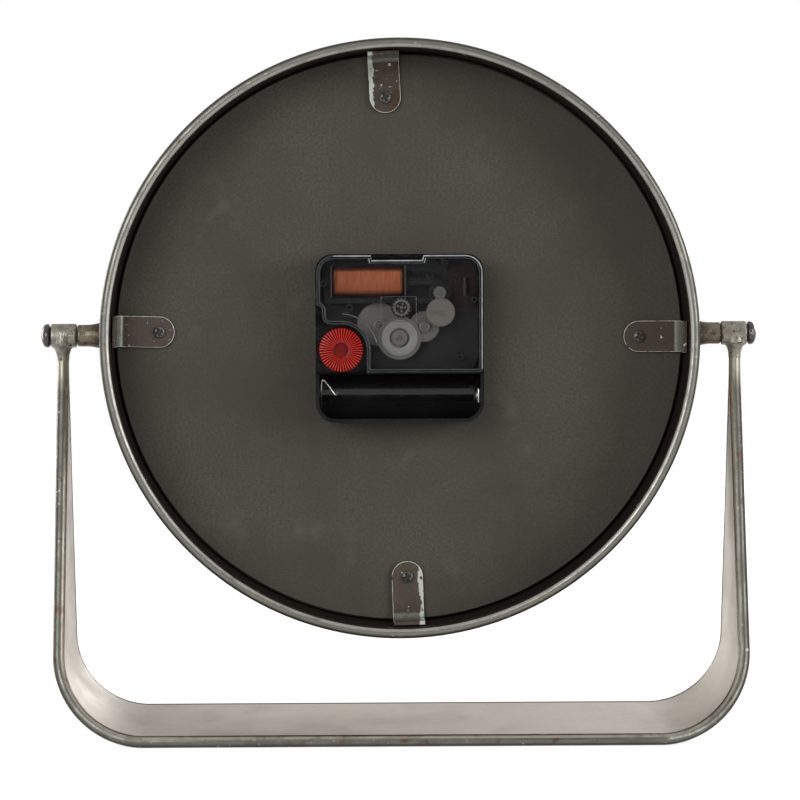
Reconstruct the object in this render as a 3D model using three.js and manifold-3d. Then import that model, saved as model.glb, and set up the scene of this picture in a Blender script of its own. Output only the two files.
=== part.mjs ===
// A table clock: a round metal case that tilts on two pins in a U-shaped stand of sheet strip with
// round wired edges. Millimetres, +Z up, origin at the middle of the stand's footprint. The dial
// faces -Y. The board with its quartz movement faces +Y. Left and right are as seen from the front.
import * as THREE from "three";
import { mergeVertices } from "three/addons/utils/BufferGeometryUtils.js";
import Module from "manifold-3d";

const wasm = await Module();
wasm.setup();

// Driving dimensions.
const seatGap = 0.3; // between faces that touch on the real clock
const runGap = 0.2; // round a shaft or a tube in its bore
const cutOverrun = 1; // how far a cut runs past the face that it leaves
const caseRadius = 96.8; // outside of the band
const caseDepth = 48; // over both rims
const caseLift = 35.5; // from the table to the band
const pivotRise = 1; // of the tilt axis above the case's centre
const pivotHeight = caseLift + caseRadius + pivotRise; // of the tilt axis above the table
const besideCase = 18; // from the band to the outside of an arm
const armOuter = caseRadius + besideCase;
const standDepth = 98; // over both wired edges of the foot
const movementSide = 56; // the square quartz movement
const movementDepth = 16;

// How finely round forms are cut into flats.
const ringSegments = 72;
const rodSegments = 20;
const fineSegments = 10;
const cornerSegments = 2; // for each quarter turn, doubled by the extrusion
const wireSides = 12;
const cornerSteps = 10;

// Materials, one for each finish.
const finish = (color, metalness, roughness, extra = {}) =>
  new THREE.MeshStandardMaterial({ color, metalness, roughness, ...extra });
const finishes = {
  agedSteel: finish(0x9b978c, 0.9, 0.5),
  wiredEdge: finish(0x66645e, 0.9, 0.4),
  paintedClip: finish(0x3a322b, 0.4, 0.5),
  blackScrew: finish(0x151515, 0.6, 0.35),
  fibreBoard: finish(0x3b3a35, 0, 0.9),
  glass: finish(0xe8f0f0, 0, 0.05, { transparent: true, opacity: 0.35 }),
  dialPrint: finish(0xe9e2cf, 0, 0.7),
  blackPaint: finish(0x1c1c1c, 0.2, 0.5),
  brass: finish(0xb89a55, 1, 0.35),
  blackPlastic: finish(0x121212, 0, 0.25),
  smokedPlastic: finish(0x2a2a2a, 0, 0.1, { transparent: true, opacity: 0.35 }),
  whitePlastic: finish(0xd9d9d4, 0, 0.5),
  redPlastic: finish(0xc4322f, 0, 0.4),
  copper: finish(0xb4633a, 0.9, 0.4),
  bobbinPlastic: finish(0x8f8a80, 0, 0.5),
  platedSteel: finish(0xb9b9b4, 1, 0.25),
  boardLaminate: finish(0x5b3d24, 0, 0.6),
};

// A box between two corners.
function block(low, high) {
  const size = low.map((value, axis) => high[axis] - value);
  const middle = low.map((value, axis) => (high[axis] + value) / 2);
  return new THREE.BoxGeometry(...size).translate(...middle);
}

// A solid turned about Y, from [radius, y] points that run up its outside. A profile that leaves the
// axis is closed into a ring.
function turned(points, segments) {
  const profile = points.map(([radius, y]) => new THREE.Vector2(radius, y));
  if (points[0][0] > 0) profile.push(profile[0].clone());
  return new THREE.LatheGeometry(profile, segments);
}

// A round bar along Y between two places.
function rod(radius, from, to, segments = rodSegments) {
  const bar = new THREE.CylinderGeometry(radius, radius, to - from, segments);
  return bar.translate(0, (from + to) / 2, 0);
}

// A tube along Y.
function tube(inner, outer, from, to, segments = rodSegments) {
  return turned([[inner, from], [outer, from], [outer, to], [inner, to]], segments);
}

// A plate of a shape drawn in X and Z, lying between two places along Y.
function plate(shape, from, to, curveSegments = cornerSegments) {
  const depth = to - from;
  const flat = new THREE.ExtrudeGeometry(shape, { depth, bevelEnabled: false, curveSegments });
  return flat.rotateX(Math.PI / 2).translate(0, to, 0);
}

function disc(radius, x = 0, z = 0) {
  return new THREE.Shape().absarc(x, z, radius, 0, 2 * Math.PI);
}

// A rectangle with round corners, between two corners in X and Z.
function roundedRectangle(x0, z0, x1, z1, radius) {
  const shape = new THREE.Shape();
  shape.absarc(x1 - radius, z0 + radius, radius, -Math.PI / 2, 0);
  shape.absarc(x1 - radius, z1 - radius, radius, 0, Math.PI / 2);
  shape.absarc(x0 + radius, z1 - radius, radius, Math.PI / 2, Math.PI);
  shape.absarc(x0 + radius, z0 + radius, radius, Math.PI, 1.5 * Math.PI);
  return shape;
}

// A solid through rings of equally many points, with a flat fan on each end ring.
function loft(rings) {
  const count = rings[0].length;
  const last = (rings.length - 1) * count;
  const index = [];
  for (let start = 0; start < last; start += count) {
    for (let j = 0; j < count; j++) {
      const k = (j + 1) % count;
      index.push(start + j, start + k, start + count + k);
      index.push(start + j, start + count + k, start + count + j);
    }
  }
  for (let j = 1; j + 1 < count; j++) {
    index.push(0, j + 1, j);
    index.push(last, last + j, last + j + 1);
  }
  const geometry = new THREE.BufferGeometry();
  geometry.setAttribute("position", new THREE.Float32BufferAttribute(rings.flat(2), 3));
  geometry.setIndex(index);
  return geometry;
}

// Cuts and joins. Only the positions count, so corners that share a place are merged first.
function solidOf(geometry) {
  const bare = geometry.clone();
  bare.deleteAttribute("normal");
  bare.deleteAttribute("uv");
  const merged = mergeVertices(bare);
  const vertProperties = merged.attributes.position.array;
  const triVerts = new Uint32Array(merged.index.array);
  return new wasm.Manifold(new wasm.Mesh({ numProp: 3, vertProperties, triVerts }));
}

function geometryOf(solid) {
  const { vertProperties, triVerts } = solid.getMesh();
  const geometry = new THREE.BufferGeometry();
  geometry.setAttribute("position", new THREE.BufferAttribute(vertProperties, 3));
  geometry.setIndex(new THREE.BufferAttribute(triVerts, 1));
  return geometry;
}

// The first geometry, joined with the others in joined, less those in cut.
function built(base, { joined = [], cut = [] }) {
  let solid = solidOf(base);
  for (const geometry of joined) solid = solid.add(solidOf(geometry));
  for (const geometry of cut) solid = solid.subtract(solidOf(geometry));
  return geometryOf(solid);
}

function addPiece(group, name, geometry, material) {
  const mesh = new THREE.Mesh(geometry, material.clone());
  mesh.name = name;
  group.add(mesh);
  return mesh;
}

const clock = new THREE.Group();
const stand = new THREE.Group();
const head = new THREE.Group(); // all that tilts, about the case's centre
head.position.z = pivotHeight - pivotRise;
clock.add(stand, head);

// Pivots: a domed pin goes through an eye on each arm into a boss on the case.
const eye = { length: 8.6, proud: 2, radius: 4, neckLength: 3, neckTop: 3.7 };
const pin = { radius: 2.3, headRadius: 3.9, headWall: 1.2, domeRise: 1.8, tail: 6 };
const boss = { radius: 3.65, footRadius: 5.2, footWall: 0.5, fillet: 1.5 };
const domeSteps = 4;
const tiltBore = pin.radius + runGap;
const eyeOuter = armOuter + eye.proud;
const eyeInner = eyeOuter - eye.length;

// Turns a piece made along Y towards +X or -X and lifts it to the tilt axis.
function towardsSide(geometry, side, height) {
  return geometry.rotateZ((-side * Math.PI) / 2).translate(0, 0, height);
}

function bossGeometry() {
  const foot = caseRadius + seatGap;
  const end = eyeInner - seatGap;
  const points = [[0, foot], [boss.footRadius, foot], [boss.footRadius, foot + boss.footWall]];
  for (let step = 1; step < domeSteps; step++) {
    const angle = (step / domeSteps) * (Math.PI / 2);
    const inward = (boss.footRadius - boss.radius) * Math.sin(angle);
    const outward = boss.fillet * (1 - Math.cos(angle));
    points.push([boss.footRadius - inward, foot + boss.footWall + outward]);
  }
  points.push([boss.radius, foot + boss.footWall + boss.fillet], [boss.radius, end]);
  const boreEnd = end - pin.tail - seatGap;
  points.push([tiltBore, end], [tiltBore, boreEnd], [0, boreEnd]);
  return turned(points, rodSegments);
}

function pinGeometry() {
  const headBase = eyeOuter + seatGap;
  const tailEnd = eyeInner - seatGap - pin.tail;
  const points = [[0, tailEnd], [pin.radius, tailEnd], [pin.radius, headBase]];
  points.push([pin.headRadius, headBase]);
  for (let step = 0; step <= domeSteps; step++) {
    const angle = (step / domeSteps) * (Math.PI / 2);
    const radius = step < domeSteps ? pin.headRadius * Math.cos(angle) : 0;
    points.push([radius, headBase + pin.headWall + pin.domeRise * Math.sin(angle)]);
  }
  return turned(points, rodSegments);
}

// Stand: the strip runs down one arm, round a corner, along the foot and up the other arm. Its width
// grows from the single bar below the eye to the full depth of the foot.
const wireRadius = 2.25; // of the wired edges
const stripWall = 1.2;
const cornerRadius = 29.5; // on the outside
const barLength = 8.3; // of the single bar below the eye's neck, before the edges part
const stripTipHalf = 1; // half the strip's width where it starts between the edges
const barTop = pivotHeight - eye.radius - eye.neckLength - seatGap;
const partingHeight = barTop - barLength + eye.neckLength;
const halfCorner = Math.PI / 2;
const taperLength = partingHeight - cornerRadius + halfCorner * (cornerRadius - wireRadius);

// Half the stand's depth at a run down the arm from where the edges part.
function halfDepth(run) {
  const share = Math.min(Math.max(run / taperLength, 0), 1);
  return wireRadius + (standDepth / 2 - wireRadius) * share;
}

// Stations down one arm to the end of its corner, at a depth under the outside face.
function armStations(under, startRun) {
  const stations = [];
  const down = (run) => ({ run, x: armOuter - under, z: partingHeight - run, nx: 1, nz: 0 });
  stations.push(down(startRun));
  if (startRun < 0) stations.push(down(0));
  for (let step = 0; step <= cornerSteps; step++) {
    const angle = (step / cornerSteps) * halfCorner;
    const nx = Math.cos(angle);
    const nz = -Math.sin(angle);
    const run = partingHeight - cornerRadius + angle * (cornerRadius - wireRadius);
    const x = armOuter - cornerRadius + (cornerRadius - under) * nx;
    const z = cornerRadius + (cornerRadius - under) * nz;
    stations.push({ run, x, z, nx, nz });
  }
  return stations;
}

// The whole U: the left arm mirrored, then the right arm back up.
function standStations(under, startRun) {
  const right = armStations(under, startRun);
  const left = right.map((station) => ({ ...station, x: -station.x, nx: -station.nx }));
  return [...left, ...right.reverse()];
}

// One wired edge. Where both edges meet below the eyes, each keeps its own half of the bar.
function edgeGeometry(side) {
  const across = wireRadius / Math.cos(Math.PI / wireSides);
  const rings = standStations(wireRadius, partingHeight - barTop).map((station) => {
    const y = side * (halfDepth(station.run) - wireRadius);
    const ring = [];
    for (let j = 0; j < wireSides; j++) {
      const angle = ((j + 0.5) / wireSides) * 2 * Math.PI;
      const out = across * Math.cos(angle);
      ring.push([station.x + out * station.nx, y + across * Math.sin(angle), station.z + out * station.nz]);
    }
    return ring;
  });
  const reach = armOuter + cutOverrun;
  const other = [-side * standDepth, (side * seatGap) / 2].sort((a, b) => a - b);
  const otherHalf = block([-reach, other[0], -cutOverrun], [reach, other[1], pivotHeight]);
  return built(loft(rings), { cut: [otherHalf] });
}

// The flat strip lies flush with the inside of the wired edges and ends just short of them.
function stripGeometry() {
  const beside = Math.sqrt(wireRadius ** 2 - (wireRadius - stripWall) ** 2);
  const lost = wireRadius + beside + seatGap;
  const widthGain = (standDepth / 2 - wireRadius) / taperLength;
  const startRun = (stripTipHalf + lost - wireRadius) / widthGain;
  const inside = standStations(2 * wireRadius, startRun);
  const outside = standStations(2 * wireRadius - stripWall, startRun);
  const rings = inside.map((station, i) => {
    const half = halfDepth(station.run) - lost;
    const far = outside[i];
    return [
      [station.x, -half, station.z],
      [far.x, -half, far.z],
      [far.x, half, far.z],
      [station.x, half, station.z],
    ];
  });
  return loft(rings);
}

// An eye with the neck that joins it to the bar below.
function eyeGeometry(side) {
  const ring = towardsSide(rod(eye.radius, eyeInner, eyeOuter), side, pivotHeight);
  const neckDepth = eye.neckLength + eye.radius;
  const neck = new THREE.CylinderGeometry(eye.neckTop, wireRadius, neckDepth, rodSegments);
  neck.rotateX(Math.PI / 2);
  neck.translate(side * (armOuter - wireRadius), 0, pivotHeight - neckDepth / 2);
  const boreEnds = [eyeInner - cutOverrun, eyeOuter + cutOverrun];
  const bore = towardsSide(rod(tiltBore, ...boreEnds), side, pivotHeight);
  return built(ring, { joined: [neck], cut: [bore] });
}

addPiece(stand, "stand_strip", stripGeometry(), finishes.agedSteel);
addPiece(stand, "stand_edge_rear", edgeGeometry(1), finishes.wiredEdge);
addPiece(stand, "stand_edge_front", edgeGeometry(-1), finishes.wiredEdge);
for (const [place, side] of [["left", -1], ["right", 1]]) {
  addPiece(stand, `eye_${place}`, eyeGeometry(side), finishes.agedSteel);
  const bossPiece = towardsSide(bossGeometry(), side, pivotRise);
  addPiece(head, `boss_${place}`, bossPiece, finishes.agedSteel);
  addPiece(head, `pivot_pin_${place}`, towardsSide(pinGeometry(), side, pivotRise), finishes.agedSteel);
}

// Case: a band with a rolled rim at each end, and a lip in front that holds the glass.
const bandWall = 1;
const rimWire = 3.6; // thickness of the rolled rims
const lipWidth = 3;
const glassWall = 2;
const bandInner = caseRadius - bandWall;
const bandEnd = caseDepth / 2 - rimWire - seatGap;
const insertRadius = bandInner - seatGap; // of what lies loose inside the band
const rimSteps = 6;

function bandGeometry() {
  const lipInner = bandInner - lipWidth;
  const points = [[caseRadius, -bandEnd], [caseRadius, bandEnd], [bandInner, bandEnd]];
  points.push([bandInner, bandWall - bandEnd], [lipInner, bandWall - bandEnd], [lipInner, -bandEnd]);
  return turned(points, ringSegments);
}

// The rim is round outside and square where it meets the band's inside.
function rimGeometry(side) {
  const middle = [bandInner + rimWire / 2, (caseDepth - rimWire) / 2];
  const points = [[bandInner, middle[1] - rimWire / 2]];
  for (let step = 0; step <= rimSteps; step++) {
    const angle = (step / rimSteps) * 1.5 * Math.PI - Math.PI / 2;
    const across = (rimWire / 2) * Math.cos(angle);
    points.push([middle[0] + across, middle[1] + (rimWire / 2) * Math.sin(angle)]);
  }
  if (side > 0) return turned(points, ringSegments);
  return turned(points.map(([radius, y]) => [radius, -y]).reverse(), ringSegments);
}

// From the lip back: glass, spacer, dial and board. What is left behind the board is its recess.
const boardWall = 3;
const boardEdgeGap = 1; // between the board and the band
const dialWall = 0.8;
const spacerWall = 1.2; // of the ring between glass and dial
const spacerLength = 12.1;
const lensFront = bandWall - bandEnd + seatGap;
const lensRear = lensFront + glassWall;
const dialFront = lensRear + spacerLength + 2 * seatGap;
const dialRear = dialFront + dialWall;
const boardRear = dialRear + seatGap + boardWall;

addPiece(head, "case_band", bandGeometry(), finishes.agedSteel);
addPiece(head, "rear_rim", rimGeometry(1), finishes.wiredEdge);
addPiece(head, "front_rim", rimGeometry(-1), finishes.wiredEdge);
addPiece(head, "lens", rod(insertRadius, lensFront, lensRear, ringSegments), finishes.glass);
const spacerFront = lensRear + seatGap;
const spacerEnds = [spacerFront, spacerFront + spacerLength];
const spacer = tube(insertRadius - spacerWall, insertRadius, ...spacerEnds, ringSegments);
addPiece(head, "lens_spacer", spacer, finishes.blackPaint);

// Clips: an L-shaped clip from the band to the board, with one screw, at four places round the case.
// The quarters count from +X towards +Z. Each clip was bent in by hand, and so leans by some degrees.
const clip = { width: 10.4, wall: 1.2, bend: 2.4, length: 20.4, wallGap: 0.45, legEndGap: 1.2 };
const clipPlaces = {
  right: { quarter: 0, lean: 1.5 },
  top: { quarter: 1, lean: -3.1 },
  left: { quarter: 2, lean: 0 },
  bottom: { quarter: 3, lean: -1.7 },
};
const clipAngle = ({ quarter, lean }) => (quarter * Math.PI) / 2 + THREE.MathUtils.degToRad(lean);
const screw = { radius: 1.1, headRadius: 2.05, headWall: 0.5, domeRise: 0.9, tail: 2.5 };
const screwSlot = { length: 2.4, width: 0.6, depth: 0.7 };
const clipReach = bandInner - clip.length;
const clipScrewAt = clipReach + clip.width / 2;
const clipFoot = boardRear + seatGap;
const clipTop = clipFoot + clip.wall;

function clipGeometry() {
  const outer = bandInner - clip.wallGap;
  const inner = outer - clip.wall;
  const legEnd = bandEnd - clip.legEndGap;
  const section = new THREE.Shape();
  section.moveTo(clipReach, clipFoot);
  section.absarc(outer - clip.bend, clipFoot + clip.bend, clip.bend, -Math.PI / 2, 0);
  section.lineTo(outer, legEnd);
  section.lineTo(inner, legEnd);
  const innerBend = clip.bend - clip.wall;
  section.absarc(outer - clip.bend, clipFoot + clip.bend, innerBend, 0, -Math.PI / 2, true);
  section.lineTo(clipReach, clipTop);
  const options = { depth: clip.width, bevelEnabled: false, curveSegments: domeSteps };
  const bent = new THREE.ExtrudeGeometry(section, options).translate(0, 0, -clip.width / 2);
  const plan = new THREE.Shape();
  plan.absarc(clipScrewAt, 0, clip.width / 2, Math.PI / 2, 1.5 * Math.PI);
  plan.lineTo(caseRadius, -clip.width / 2);
  plan.lineTo(caseRadius, clip.width / 2);
  const outline = plate(plan, clipFoot - cutOverrun, legEnd + cutOverrun, domeSteps);
  const hole = rod(screw.radius + runGap, clipFoot - cutOverrun, clipTop + cutOverrun);
  hole.translate(clipScrewAt, 0, 0);
  return geometryOf(solidOf(bent).intersect(solidOf(outline)).subtract(solidOf(hole)));
}

function screwGeometry() {
  const headBase = clipTop + seatGap;
  const tailEnd = boardRear - screw.tail;
  const points = [[0, tailEnd], [screw.radius, tailEnd], [screw.radius, headBase]];
  points.push([screw.headRadius, headBase]);
  for (let step = 0; step <= domeSteps; step++) {
    const angle = (step / domeSteps) * (Math.PI / 2);
    const radius = step < domeSteps ? screw.headRadius * Math.cos(angle) : 0;
    points.push([radius, headBase + screw.headWall + screw.domeRise * Math.sin(angle)]);
  }
  const top = headBase + screw.headWall + screw.domeRise;
  const half = [screwSlot.length / 2, screwSlot.width / 2];
  const low = top - screwSlot.depth;
  const high = top + cutOverrun;
  const slots = [half, [...half].reverse()].map(([x, z]) => block([-x, low, -z], [x, high, z]));
  return built(turned(points, fineSegments), { cut: slots }).translate(clipScrewAt, 0, 0);
}

for (const [name, place] of Object.entries(clipPlaces)) {
  const holder = new THREE.Group();
  holder.rotation.y = -clipAngle(place);
  head.add(holder);
  addPiece(holder, `clip_${name}`, clipGeometry(), finishes.paintedClip);
  addPiece(holder, `clip_screw_${name}`, screwGeometry(), finishes.blackScrew);
}

// Movement, in a frame of its own that starts at its front face, against the board.
const movement = new THREE.Group();
movement.position.y = boardRear + seatGap;
head.add(movement);

// Tubes through the dial's middle, from the inside out: second hand's arbor, minute, hour, neck.
const arborRadius = 0.5;
const minuteTube = { inner: arborRadius + runGap, outer: 1.6 };
const hourTube = { inner: minuteTube.outer + runGap, outer: 2.55 };
const neck = { inner: hourTube.outer + runGap, outer: 3.9, proud: 0.4 };
const washer = { radius: 7, wall: 0.5 };
const nut = { acrossFlats: 11, wall: 2 };
const toMovement = -movement.position.y; // adds to a place in the case's frame
const washerFront = dialFront - seatGap - washer.wall;
const nutFront = washerFront - seatGap - nut.wall;
const neckFront = nutFront - neck.proud;

const centreHole = new THREE.Path().absarc(0, 0, neck.outer + runGap, 0, 2 * Math.PI, true);
const dialShape = disc(insertRadius);
dialShape.holes.push(centreHole);
const roundSteps = ringSegments / 2;
addPiece(head, "dial", plate(dialShape, dialFront, dialRear, roundSteps), finishes.dialPrint);

function boardGeometry() {
  const radius = bandInner - boardEdgeGap;
  const front = boardRear - boardWall;
  const ends = [front - cutOverrun, boardRear + cutOverrun];
  const cut = [rod(neck.outer + runGap, ...ends)];
  for (const angle of Object.values(clipPlaces).map(clipAngle)) {
    const hole = rod(screw.radius + runGap, ...ends, fineSegments);
    cut.push(hole.translate(clipScrewAt * Math.cos(angle), 0, clipScrewAt * Math.sin(angle)));
  }
  return built(rod(radius, front, boardRear, ringSegments), { cut });
}
addPiece(head, "back_board", boardGeometry(), finishes.fibreBoard);

const nutShape = new THREE.Shape();
for (let corner = 0; corner < 6; corner++) {
  const angle = (corner * Math.PI) / 3;
  const radius = nut.acrossFlats / 2 / Math.cos(Math.PI / 6);
  const point = [radius * Math.cos(angle), radius * Math.sin(angle)];
  if (corner) nutShape.lineTo(...point);
  else nutShape.moveTo(...point);
}
nutShape.holes.push(centreHole);
const washerShape = disc(washer.radius);
washerShape.holes.push(centreHole);
const nutPlate = plate(nutShape, nutFront, nutFront + nut.wall, fineSegments);
addPiece(head, "neck_nut", nutPlate, finishes.brass);
const washerPlate = plate(washerShape, washerFront, washerFront + washer.wall, fineSegments);
addPiece(head, "neck_washer", washerPlate, finishes.brass);

// Gears. Axes are places in X and Z. The pitch radii of a pair share out the distance between its
// axes by their counts of teeth.
const addendumShare = 0.35; // of the module, from the pitch circle to a tip
const dedendumShare = 0.95; // of the module, from the pitch circle to a root
const centreAxis = new THREE.Vector2(0, 0);
const knobAxis = new THREE.Vector2(19.5, -3.85);
const thirdAxis = new THREE.Vector2(6.9, 4.5);
const stepAxis = new THREE.Vector2(-8.2, 3.8); // the wheel that drives the seconds wheel
const firstAxis = new THREE.Vector2(-13.7, 8.56); // the wheel that the rotor drives
const rotorAxis = new THREE.Vector2(-13.4, 15);
const minuteWorkDistance = 8; // from the centre to the minute-work wheel
const teeth = {
  cannon: 12,
  minuteWork: 36,
  minuteWorkPinion: 8,
  hour: 32,
  setting: 36,
  centre: 64,
  thirdPinion: 8,
  third: 60,
  secondsPinion: 8,
  seconds: 60,
  stepPinion: 15,
  step: 30,
  firstPinion: 12,
  first: 30,
  rotor: 10,
};

const pitchRadius = (distance, own, other) => (distance * own) / (own + other);

// The setting wheel is as far from the minute-work wheel as their teeth ask for.
const cannonPitch = pitchRadius(minuteWorkDistance, teeth.cannon, teeth.minuteWork);
const toothPitch = cannonPitch / teeth.cannon;
const settingDistance = toothPitch * (teeth.minuteWork + teeth.setting);
const knobDistance = knobAxis.length();
const aside = Math.acos(
  (minuteWorkDistance ** 2 + knobDistance ** 2 - settingDistance ** 2) /
    (2 * minuteWorkDistance * knobDistance),
);
const minuteWorkAxis = new THREE.Vector2(minuteWorkDistance, 0);
minuteWorkAxis.rotateAround(centreAxis, knobAxis.angle() + aside);

// The angle of one tip on a wheel, so that its teeth fall into the gaps of the wheel it meshes with.
function meshedTip(otherAxis, otherTip, otherTeeth, ownAxis, ownTeeth) {
  const line = ownAxis.clone().sub(otherAxis).angle();
  return line + Math.PI - ((otherTip - line) * otherTeeth) / ownTeeth + Math.PI / ownTeeth;
}

// A toothed wheel between two places along Y.
function gear(axis, count, radius, tip, from, to) {
  const module = (2 * radius) / count;
  const shape = new THREE.Shape();
  for (let point = 0; point < 2 * count; point++) {
    const reach = point % 2 ? radius - dedendumShare * module : radius + addendumShare * module;
    const angle = tip + (point * Math.PI) / count;
    const place = [axis.x + reach * Math.cos(angle), axis.y + reach * Math.sin(angle)];
    if (point) shape.lineTo(...place);
    else shape.moveTo(...place);
  }
  return plate(shape, from, to);
}

const rodAt = (axis, radius, from, to, segments = fineSegments) =>
  rod(radius, from, to, segments).translate(axis.x, 0, axis.y);

// Layers of the movement, from its front face back.
const frontWall = 1.5;
const sideWall = 1.5;
const wheelWall = 1.2; // of the wheels in front of the train plate
const plateWall = 1;
const trainWall = 0.8; // of the wheels behind the train plate
const trainGap = 0.6; // between wheels that cross behind the train plate
const coverWall = 1.2;
const hourLayer = [frontWall + seatGap, frontWall + seatGap + wheelWall];
const settingLayer = [hourLayer[1] + seatGap, hourLayer[1] + seatGap + wheelWall];
const plateLayer = [settingLayer[1] + seatGap, settingLayer[1] + seatGap + plateWall];
const behind = (front) => [front, front + trainWall];
const centreLayer = behind(plateLayer[1] + seatGap);
const thirdLayer = behind(centreLayer[1] + trainGap);
const stepLayer = behind(thirdLayer[1] + trainGap);
const secondsLayer = behind(stepLayer[1] + trainGap);
const firstLayer = behind(secondsLayer[1] + trainGap);
const caseTop = movementDepth - coverWall - seatGap; // of the walls under the clear cover
const arborEnd = caseTop; // rear pivots stop just short of the cover

// Battery bay, knob recess and cover outline.
const bayHeight = 15;
const bayWall = 1.2;
const movementHalf = movementSide / 2;
const movementCorner = 5.5;
const bayLow = -movementHalf + bayWall;
const bayTop = bayLow + bayHeight;
const bayEnd = movementHalf - bayWall;
const cavityLow = bayTop + bayWall;
const cavityHigh = movementHalf - sideWall;
const knob = { radius: 7.4, wall: 3.6, flutes: 40, fluteDepth: 0.5, hubRadius: 2.4, hubDepth: 0.8 };
const knobRecessRadius = 8.6;
const knobFloor = 11.2;
const knobFloorWall = 1;
const settingArborRadius = 1.2;

const recessSegments = 5;

// The knob's recess opens to the movement's side. Grown by a wall, it is the turret round it.
function recessShape(grown, low) {
  const radius = knobRecessRadius + grown;
  const shape = new THREE.Shape();
  shape.absarc(knobAxis.x, knobAxis.y, radius, Math.PI / 2, Math.PI);
  shape.lineTo(knobAxis.x - radius, low);
  shape.lineTo(movementHalf + (grown ? -sideWall / 2 : cutOverrun), low);
  shape.lineTo(movementHalf + (grown ? -sideWall / 2 : cutOverrun), knobAxis.y + radius);
  return shape;
}

function movementCaseGeometry() {
  const full = [-movementHalf, -movementHalf, movementHalf, movementHalf, movementCorner];
  const shell = plate(roundedRectangle(...full), 0, movementDepth);
  const cavityCorner = movementCorner - sideWall;
  const cavity = [-cavityHigh, cavityLow, cavityHigh, cavityHigh, cavityCorner];
  const past = movementDepth + cutOverrun;
  const outside = movementHalf + cutOverrun;
  const hollow = [
    plate(roundedRectangle(...cavity), frontWall, past),
    block([-outside, caseTop, bayTop - cutOverrun], [outside, past, outside]),
    block([-bayEnd, frontWall, bayLow], [bayEnd, past, bayTop]),
  ];
  const walls = built(shell, { cut: hollow });
  const turretLow = bayTop + bayWall / 2;
  const turretEnds = [knobFloor - knobFloorWall, caseTop];
  const turret = plate(recessShape(knobFloorWall, turretLow), ...turretEnds, recessSegments);
  const neckTube = rod(neck.outer, neckFront + toMovement, frontWall / 2);
  return built(walls, {
    joined: [turret, neckTube],
    cut: [
      plate(recessShape(0, bayTop - cutOverrun), knobFloor, past, recessSegments),
      rod(neck.inner, neckFront + toMovement - cutOverrun, frontWall + cutOverrun),
      rodAt(knobAxis, settingArborRadius + runGap, frontWall, past),
    ],
  });
}

// The clear cover leaves the knob free and has a shallow step at its top edge.
const coverInset = 0.4;
const coverStep = { from: -8, to: 9.4, depth: 1.6 };

function coverGeometry() {
  const edge = movementHalf - coverInset;
  const low = bayTop + coverInset;
  const outline = roundedRectangle(-edge, low, edge, edge, movementCorner);
  const sheet = plate(outline, caseTop + seatGap, movementDepth);
  const past = movementDepth + cutOverrun;
  const step = [coverStep.from, caseTop, edge - coverStep.depth];
  return built(sheet, {
    cut: [
      plate(recessShape(0, low - cutOverrun), caseTop, past, recessSegments),
      block(step, [coverStep.to, past, edge + cutOverrun]),
    ],
  });
}

function trainPlateGeometry() {
  const side = cavityHigh - seatGap;
  const corner = movementCorner - sideWall;
  const shape = roundedRectangle(-side, cavityLow + seatGap, side, side, corner);
  const ends = [plateLayer[0] - cutOverrun, plateLayer[1] + cutOverrun];
  const holes = [
    rodAt(centreAxis, minuteTube.outer + runGap, ...ends),
    rodAt(knobAxis, settingArborRadius + runGap, ...ends),
  ];
  return built(plate(shape, ...plateLayer), { cut: holes });
}

addPiece(movement, "movement_case", movementCaseGeometry(), finishes.blackPlastic);
addPiece(movement, "movement_cover", coverGeometry(), finishes.smokedPlastic);
addPiece(movement, "train_plate", trainPlateGeometry(), finishes.blackPlastic);

// Hands, from the dial forwards, on the ends of their tubes.
const hand = { wall: 0.5, gap: 0.8, proud: 0.3 };
const hourHandRear = neckFront - hand.gap;
const hourTubeFront = hourHandRear - hand.wall - hand.proud;
const minuteHandRear = hourTubeFront - hand.gap;
const minuteTubeFront = minuteHandRear - hand.wall - hand.proud;
const secondHandRear = minuteTubeFront - hand.gap;
const arborFront = secondHandRear - hand.wall - hand.proud;

// Motion work in front of the train plate: twelve turns of the minute hand to one of the hour hand.
const motionTip = minuteWorkAxis.angle();
const cannonGear = gear(centreAxis, teeth.cannon, cannonPitch, motionTip, ...settingLayer);
const cannonPinion = built(cannonGear, {
  joined: [rod(minuteTube.outer, minuteTubeFront + toMovement, settingLayer[1])],
  cut: [rod(minuteTube.inner, minuteTubeFront + toMovement - cutOverrun, plateLayer[1])],
});
addPiece(movement, "cannon_pinion", cannonPinion, finishes.whitePlastic);

const minuteWorkTip = meshedTip(centreAxis, motionTip, teeth.cannon, minuteWorkAxis, teeth.minuteWork);
const minuteWorkPitch = minuteWorkDistance - cannonPitch;
const hourPitch = pitchRadius(minuteWorkDistance, teeth.hour, teeth.minuteWorkPinion);
const innerPitch = minuteWorkDistance - hourPitch;
const minuteWorkGears = [
  gear(minuteWorkAxis, teeth.minuteWork, minuteWorkPitch, minuteWorkTip, ...settingLayer),
  gear(minuteWorkAxis, teeth.minuteWorkPinion, innerPitch, motionTip, hourLayer[0], settingLayer[0]),
];
const minuteWorkWheel = built(minuteWorkGears[0], { joined: [minuteWorkGears[1]] });
addPiece(movement, "minute_work_wheel", minuteWorkWheel, finishes.whitePlastic);

const hourTip = meshedTip(minuteWorkAxis, motionTip, teeth.minuteWorkPinion, centreAxis, teeth.hour);
const hourWheel = built(gear(centreAxis, teeth.hour, hourPitch, hourTip, ...hourLayer), {
  joined: [rod(hourTube.outer, hourTubeFront + toMovement, hourLayer[1])],
  cut: [rod(hourTube.inner, hourTubeFront + toMovement - cutOverrun, settingLayer[0])],
});
addPiece(movement, "hour_wheel", hourWheel, finishes.whitePlastic);

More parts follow.
